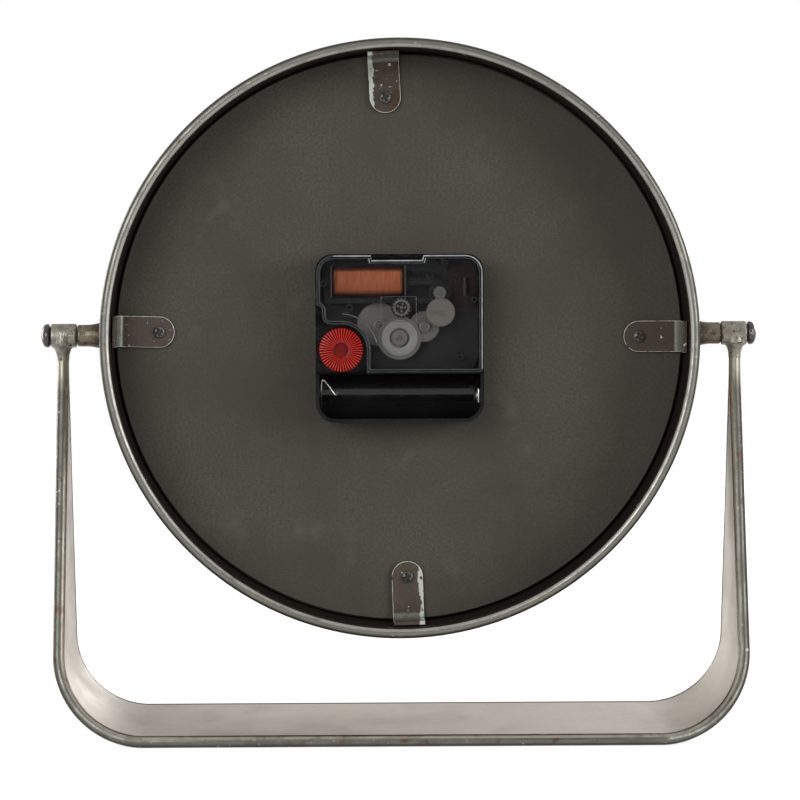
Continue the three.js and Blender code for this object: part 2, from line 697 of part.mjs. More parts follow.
const settingTip = meshedTip(minuteWorkAxis, minuteWorkTip, teeth.minuteWork, knobAxis, teeth.setting);
const settingPitch = settingDistance - minuteWorkPitch;
const knobBase = knobFloor + seatGap;
const knobTop = knobBase + knob.wall;
const settingEnd = knobTop - knob.hubDepth - seatGap * 2;
const settingGear = gear(knobAxis, teeth.setting, settingPitch, settingTip, ...settingLayer);
const settingWheel = built(settingGear, {
  joined: [rodAt(knobAxis, settingArborRadius, hourLayer[0], settingEnd)],
});
addPiece(movement, "setting_wheel", settingWheel, finishes.whitePlastic);

// The knob: a fluted disc with a sunk hub, on the setting wheel's arbor.
function knobGeometry() {
  const fluted = new THREE.Shape();
  for (let point = 0; point < 2 * knob.flutes; point++) {
    const reach = knob.radius - (point % 2 ? knob.fluteDepth : 0);
    const angle = (point * Math.PI) / knob.flutes;
    const place = [knobAxis.x + reach * Math.cos(angle), knobAxis.y + reach * Math.sin(angle)];
    if (point) fluted.lineTo(...place);
    else fluted.moveTo(...place);
  }
  const bore = settingArborRadius + runGap;
  return built(plate(fluted, knobBase, knobTop), {
    cut: [
      rodAt(knobAxis, knob.hubRadius, knobTop - knob.hubDepth, knobTop + cutOverrun, rodSegments),
      rodAt(knobAxis, bore, knobBase - cutOverrun, settingEnd + seatGap),
    ],
  });
}
addPiece(movement, "setting_knob", knobGeometry(), finishes.redPlastic);

// Running train behind the train plate: sixty turns of the seconds wheel to one of the centre wheel.
const thirdDistance = thirdAxis.length();
const centrePitch = pitchRadius(thirdDistance, teeth.centre, teeth.thirdPinion);
const centreGear = gear(centreAxis, teeth.centre, centrePitch, thirdAxis.angle(), ...centreLayer);
const centreFront = settingLayer[1] + seatGap;
const centreWheel = built(centreGear, {
  joined: [rod(minuteTube.outer, centreFront, centreLayer[1])],
  cut: [rod(minuteTube.inner, centreFront - cutOverrun, centreLayer[1] + cutOverrun)],
});
addPiece(movement, "centre_wheel", centreWheel, finishes.whitePlastic);

// A train wheel with its pinion in another layer, on an arbor between the train plate and the cover.
function trainWheel(axis, wheel, pinion) {
  const parts = [wheel, pinion].map((part) =>
    gear(axis, part.teeth, part.pitch, part.tip, part.layer[0], part.layer[1]),
  );
  const arbor = rodAt(axis, arborRadius, wheel.from ?? centreLayer[0], arborEnd);
  return built(parts[0], { joined: [parts[1], arbor] });
}

const reaches = (layer) => [layer[0] - trainGap / 3, layer[1] + trainGap / 3]; // a pinion overlaps its wheel's face
const lineTip = (from, to) => to.clone().sub(from).angle();

const thirdPinionPitch = thirdDistance - centrePitch;
const thirdPinionTip = meshedTip(centreAxis, thirdAxis.angle(), teeth.centre, thirdAxis, teeth.thirdPinion);
const secondsPinionPitch = pitchRadius(thirdDistance, teeth.secondsPinion, teeth.third);
const secondsPinionTip = thirdAxis.angle();
const thirdTip = meshedTip(centreAxis, secondsPinionTip, teeth.secondsPinion, thirdAxis, teeth.third);
const thirdWheel = trainWheel(
  thirdAxis,
  { teeth: teeth.third, pitch: thirdDistance - secondsPinionPitch, tip: thirdTip, layer: thirdLayer },
  { teeth: teeth.thirdPinion, pitch: thirdPinionPitch, tip: thirdPinionTip, layer: [centreLayer[0], thirdLayer[0]] },
);
addPiece(movement, "third_wheel", thirdWheel, finishes.whitePlastic);

const stepDistance = stepAxis.length();
const secondsPitch = pitchRadius(stepDistance, teeth.seconds, teeth.stepPinion);
const secondsTip = stepAxis.angle();
const secondsWheel = trainWheel(
  centreAxis,
  { teeth: teeth.seconds, pitch: secondsPitch, tip: secondsTip, layer: secondsLayer, from: arborFront + toMovement },
  { teeth: teeth.secondsPinion, pitch: secondsPinionPitch, tip: secondsPinionTip, layer: reaches(thirdLayer) },
);
addPiece(movement, "seconds_wheel", secondsWheel, finishes.whitePlastic);

const firstDistance = firstAxis.distanceTo(stepAxis);
const firstPinionPitch = pitchRadius(firstDistance, teeth.firstPinion, teeth.step);
const firstPinionTip = lineTip(firstAxis, stepAxis);
const stepTip = meshedTip(firstAxis, firstPinionTip, teeth.firstPinion, stepAxis, teeth.step);
const stepPinionTip = meshedTip(centreAxis, secondsTip, teeth.seconds, stepAxis, teeth.stepPinion);
const stepWheel = trainWheel(
  stepAxis,
  { teeth: teeth.step, pitch: firstDistance - firstPinionPitch, tip: stepTip, layer: stepLayer },
  { teeth: teeth.stepPinion, pitch: stepDistance - secondsPitch, tip: stepPinionTip, layer: reaches(secondsLayer) },
);
addPiece(movement, "step_wheel", stepWheel, finishes.whitePlastic);

const rotorDistance = rotorAxis.distanceTo(firstAxis);
const rotorPitch = pitchRadius(rotorDistance, teeth.rotor, teeth.first);
const rotorTip = lineTip(rotorAxis, firstAxis);
const firstTip = meshedTip(rotorAxis, rotorTip, teeth.rotor, firstAxis, teeth.first);
const firstWheel = trainWheel(
  firstAxis,
  { teeth: teeth.first, pitch: rotorDistance - rotorPitch, tip: firstTip, layer: firstLayer },
  { teeth: teeth.firstPinion, pitch: firstPinionPitch, tip: firstPinionTip, layer: reaches(stepLayer) },
);
addPiece(movement, "first_wheel", firstWheel, finishes.whitePlastic);

// Motor: the rotor's magnet turns in the stator's hole, and the coil sits on the stator's core.
const magnet = { radius: 2.2, height: 2.4 };
const stator = { wall: 1, limb: 2.4, ringWall: 1.2, airGap: 0.4 };
const coil = { from: -1.2, to: 22, low: 14.1, high: 23.7, deep: 7.2, flange: 0.9, rim: 0.5 };
const coilAxis = (coil.low + coil.high) / 2;
const coilY = (centreLayer[0] + arborEnd) / 2;
const statorLayer = [coilY - stator.wall / 2, coilY + stator.wall / 2];

const magnetEnds = [coilY - magnet.height / 2, coilY + magnet.height / 2];
const rotorGear = gear(rotorAxis, teeth.rotor, rotorPitch, rotorTip, magnetEnds[1], reaches(firstLayer)[1]);
const rotor = built(rotorGear, {
  joined: [
    rodAt(rotorAxis, magnet.radius, ...magnetEnds, rodSegments),
    rodAt(rotorAxis, arborRadius, centreLayer[0], arborEnd),
  ],
});
addPiece(movement, "rotor", rotor, finishes.whitePlastic);

// A ring of rectangular section wound along X round the core, with round corners.
function alongX(from, to, halfHeight, halfDepthY, corner) {
  const shape = roundedRectangle(-halfDepthY, -halfHeight, halfDepthY, halfHeight, corner);
  return plate(shape, from, to).rotateZ(-Math.PI / 2).translate(0, coilY, coilAxis);
}

const coreHalf = stator.limb / 2;
const bobbinBore = [coreHalf + runGap, stator.wall / 2 + runGap];
const bobbinTube = [bobbinBore[0] + coil.rim, bobbinBore[1] + coil.rim];
const windingBore = [bobbinTube[0] + runGap, bobbinTube[1] + runGap];
const coilHalf = [(coil.high - coil.low) / 2, coil.deep / 2];
const coilCorner = coilHalf[1] / 2;
const flangeHalf = [coilHalf[0] + coil.rim, coilHalf[1] + coil.rim / 2];
const throughCoil = [coil.from - coil.flange - cutOverrun, coil.to + coil.flange + cutOverrun];
const windingEnds = [coil.from + seatGap, coil.to - seatGap];
const smallCorner = coil.rim / 2;
const winding = built(alongX(...windingEnds, ...coilHalf, coilCorner), {
  cut: [alongX(...throughCoil, ...windingBore, smallCorner)],
});
addPiece(movement, "coil_winding", winding, finishes.copper);
const bobbin = built(alongX(coil.from - coil.flange, coil.from, ...flangeHalf, coilCorner), {
  joined: [
    alongX(coil.to, coil.to + coil.flange, ...flangeHalf, coilCorner),
    alongX(coil.from - coil.flange, coil.to + coil.flange, ...bobbinTube, smallCorner),
  ],
  cut: [alongX(...throughCoil, ...bobbinBore, smallCorner)],
});
addPiece(movement, "coil_bobbin", bobbin, finishes.bobbinPlastic);

// The stator: a core through the bobbin, a return limb below it and a ring round the magnet.
function statorGeometry() {
  const slab = (x0, z0, x1, z1) => block([x0, statorLayer[0], z0], [x1, statorLayer[1], z1]);
  const hole = magnet.radius + stator.airGap;
  const coreLow = coilAxis - coreHalf;
  const coreHigh = coilAxis + coreHalf;
  const legEnd = coil.to + coil.flange + seatGap + stator.limb * 0.7;
  const limbHigh = coil.low - coil.rim - seatGap;
  const limbLow = limbHigh - stator.limb * 0.7;
  return built(slab(rotorAxis.x, coreLow, legEnd, coreHigh), {
    joined: [
      slab(coil.to + coil.flange + seatGap, limbLow, legEnd, coreHigh),
      slab(rotorAxis.x, limbLow, legEnd, limbHigh),
      rodAt(rotorAxis, hole + stator.ringWall, ...statorLayer, rodSegments),
    ],
    cut: [rodAt(rotorAxis, hole, statorLayer[0] - cutOverrun, statorLayer[1] + cutOverrun, rodSegments)],
  });
}
addPiece(movement, "stator", statorGeometry(), finishes.platedSteel);

// Electronics and battery contacts.
const circuit = { from: -25.5, to: -16.4, low: 9.8, high: 25, wall: 0.8 };
const quartz = { radius: 1, length: 6, x: -22, z: 14 };
const circuitRear = centreLayer[0] + circuit.wall;
const circuitCorners = [
  [circuit.from, centreLayer[0], circuit.low],
  [circuit.to, circuitRear, circuit.high],
];
addPiece(movement, "circuit_board", block(...circuitCorners), finishes.boardLaminate);
const can = rod(quartz.radius, 0, quartz.length, fineSegments).rotateX(Math.PI / 2);
can.translate(quartz.x, circuitRear + seatGap + quartz.radius, quartz.z);
addPiece(movement, "quartz_can", can, finishes.platedSteel);

const contact = { wall: 0.4, width: 4.6, height: 10, wire: 0.35, sides: 6, steps: 30 };
const bayMiddle = (bayLow + bayTop) / 2;
const bayRise = movementDepth - frontWall;
const positive = block(
  [-bayEnd + seatGap, frontWall + seatGap, bayMiddle - contact.width / 2],
  [-bayEnd + seatGap + contact.wall, frontWall + seatGap + contact.height, bayMiddle + contact.width / 2],
);
addPiece(movement, "contact_positive", positive, finishes.platedSteel);

// The other contact is a bent wire: up the end wall, into the bay's upper corner, out across the bay
// and back in a small hook. Each point has shares of the bay's half length, depth and height.
const wirePointShares = [
  [0.975, 0.04, 0.5],
  [0.975, 0.62, 0.5],
  [0.965, 0.8, 0.9],
  [0.88, 0.82, 0.75],
  [0.8, 0.8, 0.63],
  [0.775, 0.74, 0.66],
];
const wirePoints = wirePointShares.map(([alongShare, deepShare, upShare]) => {
  const [x, y] = [bayEnd * alongShare, frontWall + bayRise * deepShare];
  return new THREE.Vector3(x, y, bayLow + bayHeight * upShare);
});
const wirePath = new THREE.CatmullRomCurve3(wirePoints, false, "centripetal");
const wireShape = new THREE.Shape();
for (let side = 0; side < contact.sides; side++) {
  const angle = (side / contact.sides) * 2 * Math.PI;
  const point = [contact.wire * Math.cos(angle), contact.wire * Math.sin(angle)];
  if (side) wireShape.lineTo(...point);
  else wireShape.moveTo(...point);
}
const wireOptions = { extrudePath: wirePath, steps: contact.steps, bevelEnabled: false };
const negative = new THREE.ExtrudeGeometry(wireShape, wireOptions);
addPiece(movement, "contact_negative", negative, finishes.platedSteel);

// Hands: a tapered blade from a round hub, with a short tail, at the time shown.
const shown = { hours: 10, minutes: 9, seconds: 35 };
const perTurn = { hours: 12, minutes: 60, seconds: 60 };
const secondShare = shown.seconds / perTurn.seconds;
const minuteShare = (shown.minutes + secondShare) / perTurn.minutes;
const hourShare = (shown.hours + minuteShare) / perTurn.hours;
const handShares = { hour: hourShare, minute: minuteShare, second: secondShare };
const hands = {
  hour: { length: 50, tail: 14, root: 3.4, tip: 1.6, hub: 5, bore: hourTube.outer, rear: hourHandRear },
  minute: { length: 74, tail: 16, root: 2.8, tip: 1.2, hub: 4, bore: minuteTube.outer, rear: minuteHandRear },
  second: { length: 78, tail: 22, root: 1, tip: 0.5, hub: 2.6, bore: arborRadius, rear: secondHandRear },
};

function handGeometry({ length, tail, root, tip, hub, bore, rear }) {
  const blade = new THREE.Shape();
  blade.moveTo(-root, 0);
  blade.lineTo(-root * 0.8, -tail);
  blade.lineTo(root * 0.8, -tail);
  blade.lineTo(root, 0);
  blade.lineTo(tip, length - tip);
  blade.lineTo(0, length);
  blade.lineTo(-tip, length - tip);
  const front = rear - hand.wall;
  return built(plate(blade, front, rear), {
    joined: [rod(hub, front, rear)],
    cut: [rod(bore + runGap, front - cutOverrun, rear + cutOverrun)],
  });
}

for (const [name, sizes] of Object.entries(hands)) {
  const piece = addPiece(head, `${name}_hand`, handGeometry(sizes), finishes.blackPaint);
  piece.rotation.y = handShares[name] * 2 * Math.PI;
}

export default clock;
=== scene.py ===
"""Finishes and fine pieces of the tilting table clock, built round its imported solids.

Lengths are millimetres up to the point where they reach a mesh or a node. +Z is up, the dial faces
-Y and the back board faces +Y. Left and right are as seen from the front, so right is +X.
"""

import logging
import math
from collections.abc import Callable, Iterator, Sequence
from contextlib import contextmanager
from dataclasses import dataclass, field, replace
from enum import Enum, IntEnum

import bmesh
import bpy
from mathutils import Matrix, Vector


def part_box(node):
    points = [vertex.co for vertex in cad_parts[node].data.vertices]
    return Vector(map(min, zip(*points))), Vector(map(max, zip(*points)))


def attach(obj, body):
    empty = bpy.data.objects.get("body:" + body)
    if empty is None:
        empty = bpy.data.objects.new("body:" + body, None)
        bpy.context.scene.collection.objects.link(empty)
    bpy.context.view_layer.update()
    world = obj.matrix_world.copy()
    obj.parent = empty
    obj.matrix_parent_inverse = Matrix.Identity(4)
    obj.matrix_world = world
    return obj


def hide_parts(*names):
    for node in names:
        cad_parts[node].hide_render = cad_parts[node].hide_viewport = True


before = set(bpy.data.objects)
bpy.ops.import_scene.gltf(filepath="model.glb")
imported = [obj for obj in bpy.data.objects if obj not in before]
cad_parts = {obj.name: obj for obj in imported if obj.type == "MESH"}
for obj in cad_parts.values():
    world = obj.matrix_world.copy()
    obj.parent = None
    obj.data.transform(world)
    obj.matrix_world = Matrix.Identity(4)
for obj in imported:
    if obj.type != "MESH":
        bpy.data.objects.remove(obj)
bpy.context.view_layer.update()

logging.basicConfig(level=logging.INFO, format="%(name)s: %(message)s")
LOG = logging.getLogger("clock")

MM = 0.001
MERGE = 0.002  # corners closer than this are one corner
FROM_EDGE = "from_edge"  # value on the strip and the clips: distance from a side, in millimetres
FOLD = "fold"  # value on a clip: how far into its bend a place is, 0 to 1
HOLLOW_SHADE = "hollow"  # value on the knob: how far down in a flute or the hub a place is, 0 to 1, for the painted shade there
NEAR_WELD = "near_weld"  # value beside a weld: how near it is, 0 to 1
INWARD = "inward"  # value on a roll: how far its surface faces the inside of its loop, -1 to 1, which places its painted shade and highlight
FIT = 0.3  # room that the solids leave between pieces that rest on each other
FACINGS = {"rear": 1, "front": -1}  # which way along Y

Point = tuple[float, float, float]
Flat = tuple[float, float]
Piece = bpy.types.Object
Tree = bpy.types.NodeTree
Mask = bpy.types.NodeSocket


class Side(IntEnum):
    """The two sides of the clock as seen from the front."""

    LEFT = -1
    RIGHT = 1


class Turn(Enum):
    """Where a piece that was modelled along +Y points."""

    REAR = Matrix.Identity(4)
    RIGHT = Matrix.Rotation(-math.pi / 2, 4, "Z")
    LEFT = Matrix.Rotation(math.pi / 2, 4, "Z")
    UP = Matrix.Rotation(math.pi / 2, 4, "X")


class Mix(IntEnum):
    """Sockets of a colour mix."""

    FACTOR = 0
    UNDER = 6
    OVER = 7
    RESULT = 2


@dataclass(frozen=True)
class Box:
    """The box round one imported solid, in millimetres."""

    low: Vector
    high: Vector

    @classmethod
    def of(cls, node: str) -> "Box":
        """Reads the box of the solid with that name."""
        low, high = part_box(node)
        return cls(low / MM, high / MM)

    @property
    def middle(self) -> Vector:
        """The middle of the box."""
        return (self.low + self.high) / 2

    def near(self, side: Side) -> float:
        """The X of its end that is nearer to the clock's middle."""
        return self.low.x if side > 0 else self.high.x


# ---- bench


def choose(*pieces: Piece) -> None:
    """Selects these pieces alone and makes the first one active.

    Args:
        *pieces: The pieces.
    """
    bpy.ops.object.select_all(action="DESELECT")
    for piece in pieces:
        piece.select_set(True)
    bpy.context.view_layer.objects.active = pieces[0]


@contextmanager
def editing(piece: Piece) -> Iterator[None]:
    """Opens a piece in edit mode with all of it selected, and closes it again.

    Args:
        piece: The piece.

    Yields:
        Nothing.
    """
    choose(piece)
    bpy.ops.object.mode_set(mode="EDIT")
    bpy.ops.mesh.select_all(action="SELECT")
    try:
        yield
    finally:
        bpy.ops.object.mode_set(mode="OBJECT")


def added(name: str, operator: Callable, **settings: object) -> Piece:
    """Adds a primitive with nothing else selected, names it and puts its place into its mesh.

    Args:
        name: Its name.
        operator: The operator that adds the primitive.
        **settings: What the operator is given.

    Returns:
        The new piece, its object untransformed.
    """
    bpy.ops.object.select_all(action="DESELECT")
    operator(**settings)
    piece = bpy.context.active_object
    piece.name = name
    piece.data.name = name
    bpy.ops.object.transform_apply(location=True, rotation=True, scale=True)
    return piece


def outline(name: str, points: Sequence[Point], filled: bool = False) -> Piece:
    """Makes a ring of corners, with or without a face in it.

    Args:
        name: Its name.
        points: Places of the corners, in millimetres.
        filled: Whether it gets a face.

    Returns:
        The new piece.
    """
    fill = "NGON" if filled else "NOTHING"
    ring = bpy.ops.mesh.primitive_circle_add
    piece = added(name, ring, vertices=len(points), fill_type=fill)
    for vertex, point in zip(piece.data.vertices, points):
        vertex.co = Vector(point) * MM
    return piece


def closed(piece: Piece) -> Piece:
    """Merges doubled corners and turns the faces outwards.

    Args:
        piece: The piece.

    Returns:
        The same piece.
    """
    with editing(piece):
        bpy.ops.mesh.remove_doubles(threshold=MERGE * MM)
        bpy.ops.mesh.delete_loose(use_faces=False)
        bpy.ops.mesh.select_all(action="SELECT")
        bpy.ops.mesh.normals_make_consistent(inside=False)
    return piece


def placed(piece: Piece, place: Point | Vector, turn: Turn = Turn.REAR) -> Piece:
    """Turns a piece that was modelled along +Y and moves it, in its mesh.

    Args:
        piece: The piece, modelled round the origin.
        place: Where its origin goes, in millimetres.
        turn: Where its +Y goes.

    Returns:
        The same piece.
    """
    piece.data.transform(Matrix.Translation(Vector(place) * MM) @ turn.value)
    return piece


def turned(name: str, profile: Sequence[Flat], steps: int) -> Piece:
    """Spins a closed profile about the Y axis.

    Args:
        name: Its name.
        profile: Radius and place along Y of each point.
        steps: Flats round the axis.

    Returns:
        The new piece.
    """
    piece = outline(name, [(radius, run, 0.0) for radius, run in profile])
    with editing(piece):
        bpy.ops.mesh.spin(steps=steps, angle=2 * math.pi, center=(0, 0, 0), axis=(0, 1, 0))
    return closed(piece)


def plate(name: str, points: Sequence[Flat], front: float, rear: float) -> Piece:
    """Extrudes an outline in X and Z from one place along Y to another.

    Args:
        name: Its name.
        points: X and Z of the outline.
        front: Where it starts along Y.
        rear: Where it ends along Y.

    Returns:
        The new piece.
    """
    piece = outline(name, [(x, front, z) for x, z in points], filled=True)
    with editing(piece):
        move = {"value": (0, (rear - front) * MM, 0)}
        bpy.ops.mesh.extrude_region_move(TRANSFORM_OT_translate=move)
    return closed(piece)


def block(name: str, low: Sequence[float], high: Sequence[float]) -> Piece:
    """Makes a box between two corners, in millimetres.

    Args:
        name: Its name.
        low: The low corner.
        high: The high corner.

    Returns:
        The new piece.
    """
    first, last = Vector(low) * MM, Vector(high) * MM
    cube = bpy.ops.mesh.primitive_cube_add
    return added(name, cube, size=1, location=(first + last) / 2, scale=last - first)


def rod(name: str, radius: float, ends: Flat, at: Flat = (0, 0), sides: int = 48) -> Piece:
    """Makes a round bar along Y, in millimetres.

    Args:
        name: Its name.
        radius: Its radius.
        ends: Where it starts and ends along Y.
        at: Its X and Z.
        sides: Flats round it.

    Returns:
        The new piece.
    """
    cylinder = bpy.ops.mesh.primitive_cylinder_add
    piece = added(name, cylinder, vertices=sides, radius=radius * MM, depth=(ends[1] - ends[0]) * MM)
    return placed(piece, (at[0], (ends[0] + ends[1]) / 2, at[1]), Turn.UP)


def swept(name: str, points: Sequence[Point], radius: float, fineness: int = 5) -> Piece:
    """Makes a round wire with closed ends.

    Args:
        name: Its name.
        points: The places it goes through, in millimetres.
        radius: Its radius.
        fineness: Fineness of its round section.

    Returns:
        The new piece.
    """
    bpy.ops.object.select_all(action="DESELECT")
    bpy.ops.curve.primitive_nurbs_path_add()
    wire = bpy.context.active_object
    wire.name = name
    line = wire.data.splines[0]
    line.points.add(len(points) - len(line.points))
    line.type = "POLY"
    for corner, point in zip(line.points, points):
        corner.co = (*(Vector(point) * MM), 1)
    wire.data.bevel_depth = radius * MM
    wire.data.bevel_resolution = fineness
    wire.data.use_fill_caps = True
    bpy.ops.object.convert(target="MESH")
    piece = bpy.context.active_object
    piece.data.name = name
    return closed(piece)


def shaped(piece: Piece, kind: str, **settings: object) -> Piece:
    """Gives a piece one modifier and applies it.

    Args:
        piece: The piece.
        kind: Kind of modifier.
        **settings: What the modifier is given.

    Returns:
        The same piece.
    """
    modifier = piece.modifiers.new(kind.lower(), kind)
    for setting, value in settings.items():
        setattr(modifier, setting, value)
    choose(piece)
    bpy.ops.object.modifier_apply(modifier=modifier.name)
    return piece


def bevelled(
    piece: Piece, width: float, segments: int = 2, angle: float = 35, edge_finish: int = -1
) -> Piece:
    """Rounds the edges that are sharper than an angle.

    Args:
        piece: The piece.
        width: Width of the rounding, in millimetres.
        segments: Flats across the rounding.
        angle: Least angle of an edge that is rounded, in degrees.
        edge_finish: Number of the finish on the rounding, or -1 for that of the faces beside it.

    Returns:
        The same piece.
    """
    while len(piece.data.materials) <= edge_finish:
        piece.data.materials.append(None)
    limit = math.radians(angle)
    shape = {"limit_method": "ANGLE", "angle_limit": limit, "miter_outer": "MITER_ARC"}
    return shaped(piece, "BEVEL", width=width * MM, segments=segments, material=edge_finish, **shape)


def combined(piece: Piece, operation: str, *others: Piece) -> Piece:
    """Joins other pieces to a piece or cuts them out of it, and removes them.

    Args:
        piece: The piece.
        operation: UNION, DIFFERENCE or INTERSECT.
        *others: The other pieces.

    Returns:
        The same piece.
    """
    for other in others:
        shaped(piece, "BOOLEAN", object=other, operation=operation, solver="EXACT")
        bpy.data.objects.remove(other)
    return piece


def assembled(name: str, pieces: Sequence[Piece]) -> Piece:
    """Makes several loose meshes one piece.

    Args:
        name: Name of that piece.
        pieces: The meshes.

    Returns:
        The first of them, with the others in it.
    """
    choose(*pieces)
    if len(pieces) > 1:
        bpy.ops.object.join()
    piece = bpy.context.active_object
    piece.name = name
    piece.data.name = name
    return piece


def copied(piece: Piece, name: str, move: Matrix) -> Piece:
    """Copies a piece with a mesh of its own and moves the copy in that mesh.

    Args:
        piece: The piece.
        name: Name of the copy.
        move: How the copy is moved and turned.

    Returns:
        The copy.
    """
    copy = piece.copy()
    copy.data = piece.data.copy()
    copy.name = name
    copy.data.name = name
    bpy.context.scene.collection.objects.link(copy)
    copy.data.transform(move)
    return copy


def smooth(piece: Piece, angle: float = 32, flats: bool = False) -> Piece:
    """Shades a piece smooth except over sharp edges.

    Args:
        piece: The piece.
        angle: Least angle of an edge that stays sharp, in degrees.
        flats: Whether its large faces are to look flat right up to their rounded edges.

    Returns:
        The same piece.
    """
    choose(piece)
    bpy.ops.object.shade_smooth_by_angle(angle=math.radians(angle))
    if flats:
        shaped(piece, "WEIGHTED_NORMAL", keep_sharp=True, weight=100)
    return piece


def marked(piece: Piece, name: str, value: Callable[[Vector, Vector], float]) -> Piece:
    """Writes a value on every corner of a piece, for its finish to read.

    Args:
        piece: The piece, in place.
        name: Name of the value.
        value: What it is, from the corner's place in millimetres and its normal.

    Returns:
        The same piece.
    """
    layer = piece.data.attributes.new(name, "FLOAT", "POINT")
    for vertex, entry in zip(piece.data.vertices, layer.data):
        entry.value = value(vertex.co / MM, vertex.normal)
    return piece


def arc(centre: Flat, radius: float, start: float, end: float, steps: int) -> list[Flat]:
    """Points on a circle from one angle to another, in degrees.

    Args:
        centre: Middle of the circle.
        radius: Its radius.
        start: Angle of the first point, from the first axis towards the second.
        end: Angle of the last point.
        steps: Number of flats between them.

    Returns:
        The points, both ends included.
    """
    angles = [math.radians(start + (end - start) * step / steps) for step in range(steps + 1)]
    return [(centre[0] + radius * math.cos(a), centre[1] + radius * math.sin(a)) for a in angles]


def rounded(low: Flat, high: Flat, radii: Sequence[float], steps: int = 8) -> list[Flat]:
    """Outline of a rectangle with round corners.

    Args:
        low: Its low corner.
        high: Its high corner.
        radii: Radii at the low right, high right, high left and low left corners.
        steps: Flats round each corner.

    Returns:
        The points of the outline.
    """
    signs = ((1, -1), (1, 1), (-1, 1), (-1, -1))
    points: list[Flat] = []
    for quarter, ((across, up), radius) in enumerate(zip(signs, radii)):
        x = high[0] - radius if across > 0 else low[0] + radius
        z = high[1] - radius if up > 0 else low[1] + radius
        points += arc((x, z), radius, 90 * (quarter - 1), 90 * quarter, steps)
    return points


# ---- finishes


def linear(hue: str) -> tuple[float, float, float, float]:
    """Turns an sRGB hex value into linear light.

    Args:
        hue: The value, such as #8899aa.

    Returns:
        Red, green, blue and alpha.
    """
    channels = [int(hue[start : start + 2], 16) / 255 for start in (1, 3, 5)]
    light = [c / 12.92 if c <= 0.04045 else ((c + 0.055) / 1.055) ** 2.4 for c in channels]
    return light[0], light[1], light[2], 1.0


def add_node(
    tree: Tree, kind: str, settings: dict | None = None, links: dict | None = None
) -> bpy.types.Node:
    """Adds a node with its settings and its inputs.

    Args:
        tree: Node tree of the material or world.
        kind: Kind of node.
        settings: Properties of the node.
        links: Inputs by name or number, each a socket to link from or a value to set.

    Returns:
        The new node.
    """
    node = tree.nodes.new(kind)
    for name, value in (settings or {}).items():
        setattr(node, name, value)
    for name, value in (links or {}).items():
        if isinstance(value, bpy.types.NodeSocket):
            tree.links.new(value, node.inputs[name])
        else:
            node.inputs[name].default_value = value
    return node


def emptied(owner: bpy.types.Material | bpy.types.World) -> Tree:
    """Gives a material or a world an empty node tree.

    Args:
        owner: The material or world.

    Returns:
        Its node tree.
    """
    owner.use_nodes = True
    owner.node_tree.nodes.clear()
    return owner.node_tree


def spots(
    tree: Tree, size: float, low: float, high: float, stretch: Point = (1, 1, 1), detail: float = 3
) -> Mask:
    """Adds a mask of irregular spots, from 0 to 1.

    Args:
        tree: The node tree.
        size: Width of a spot, in millimetres.
        low: Noise value where the mask starts.
        high: Noise value where it is full.
        stretch: How much finer the spots are along each axis.
        detail: Octaves of finer noise in their outline.

    Returns:
        The mask.
    """
    place = add_node(tree, "ShaderNodeTexCoord").outputs["Object"]
    drawn = add_node(tree, "ShaderNodeMapping", {}, {"Vector": place, "Scale": stretch})
    pattern = {"Vector": drawn.outputs[0], "Scale": 1 / (size * MM), "Detail": detail, "Roughness": 0.6}
    noise = add_node(tree, "ShaderNodeTexNoise", {}, pattern)
    limits = {"Value": noise.outputs[0], "From Min": low, "From Max": high}
    return add_node(tree, "ShaderNodeMapRange", {}, limits).outputs[0]


def spread(tree: Tree, mask: Mask, low: float, high: float) -> Mask:
    """Turns a mask into a value that runs between two limits."""
    limits = {"Value": mask, "To Min": low, "To Max": high}
    return add_node(tree, "ShaderNodeMapRange", {}, limits).outputs[0]


def both(tree: Tree, first: Mask, second: Mask) -> Mask:
    """A mask where two masks overlap."""
    return add_node(tree, "ShaderNodeMath", {"operation": "MULTIPLY"}, {0: first, 1: second}).outputs[0]


def written(tree: Tree, name: str, low: float, high: float) -> Mask:
    """Adds a mask from a value written on the piece.

    Args:
        tree: The node tree.
        name: Name of the value.
        low: Value where the mask is empty.
        high: Value where it is full.

    Returns:
        The mask.
    """
    value = add_node(tree, "ShaderNodeAttribute", {"attribute_name": name}).outputs["Fac"]
    limits = {"Value": value, "From Min": low, "From Max": high}
    return add_node(tree, "ShaderNodeMapRange", {"interpolation_type": "SMOOTHSTEP"}, limits).outputs[0]


def layered(tree: Tree, hue: str, layers: Sequence[tuple[str, Mask]]) -> Mask:
    """Lays colours over each other, each where its mask is full.

    Args:
        tree: The node tree.
        hue: The lowest colour.
        layers: Each colour with its mask.

    Returns:
        The colour.
    """
    colour: object = linear(hue)
    for over, mask in layers:
        sockets = {Mix.FACTOR: mask, Mix.UNDER: colour, Mix.OVER: linear(over)}
        colour = add_node(tree, "ShaderNodeMix", {"data_type": "RGBA"}, sockets).outputs[Mix.RESULT]
    return colour


def relief(tree: Tree, heights: Sequence[tuple[Mask, float]]) -> Mask:
    """Raises a surface by heights in millimetres, each where its mask is full.

    Args:
        tree: The node tree.
        heights: Each mask with its height, which may be negative.

    Returns:
        The normal.
    """
    normal: Mask | None = None
    for mask, height in heights:
        links = {"Height": mask, "Distance": abs(height) * MM, "Strength": 1.0}
        if normal is not None:
            links["Normal"] = normal
        normal = add_node(tree, "ShaderNodeBump", {"invert": height < 0}, links).outputs[0]
    return normal


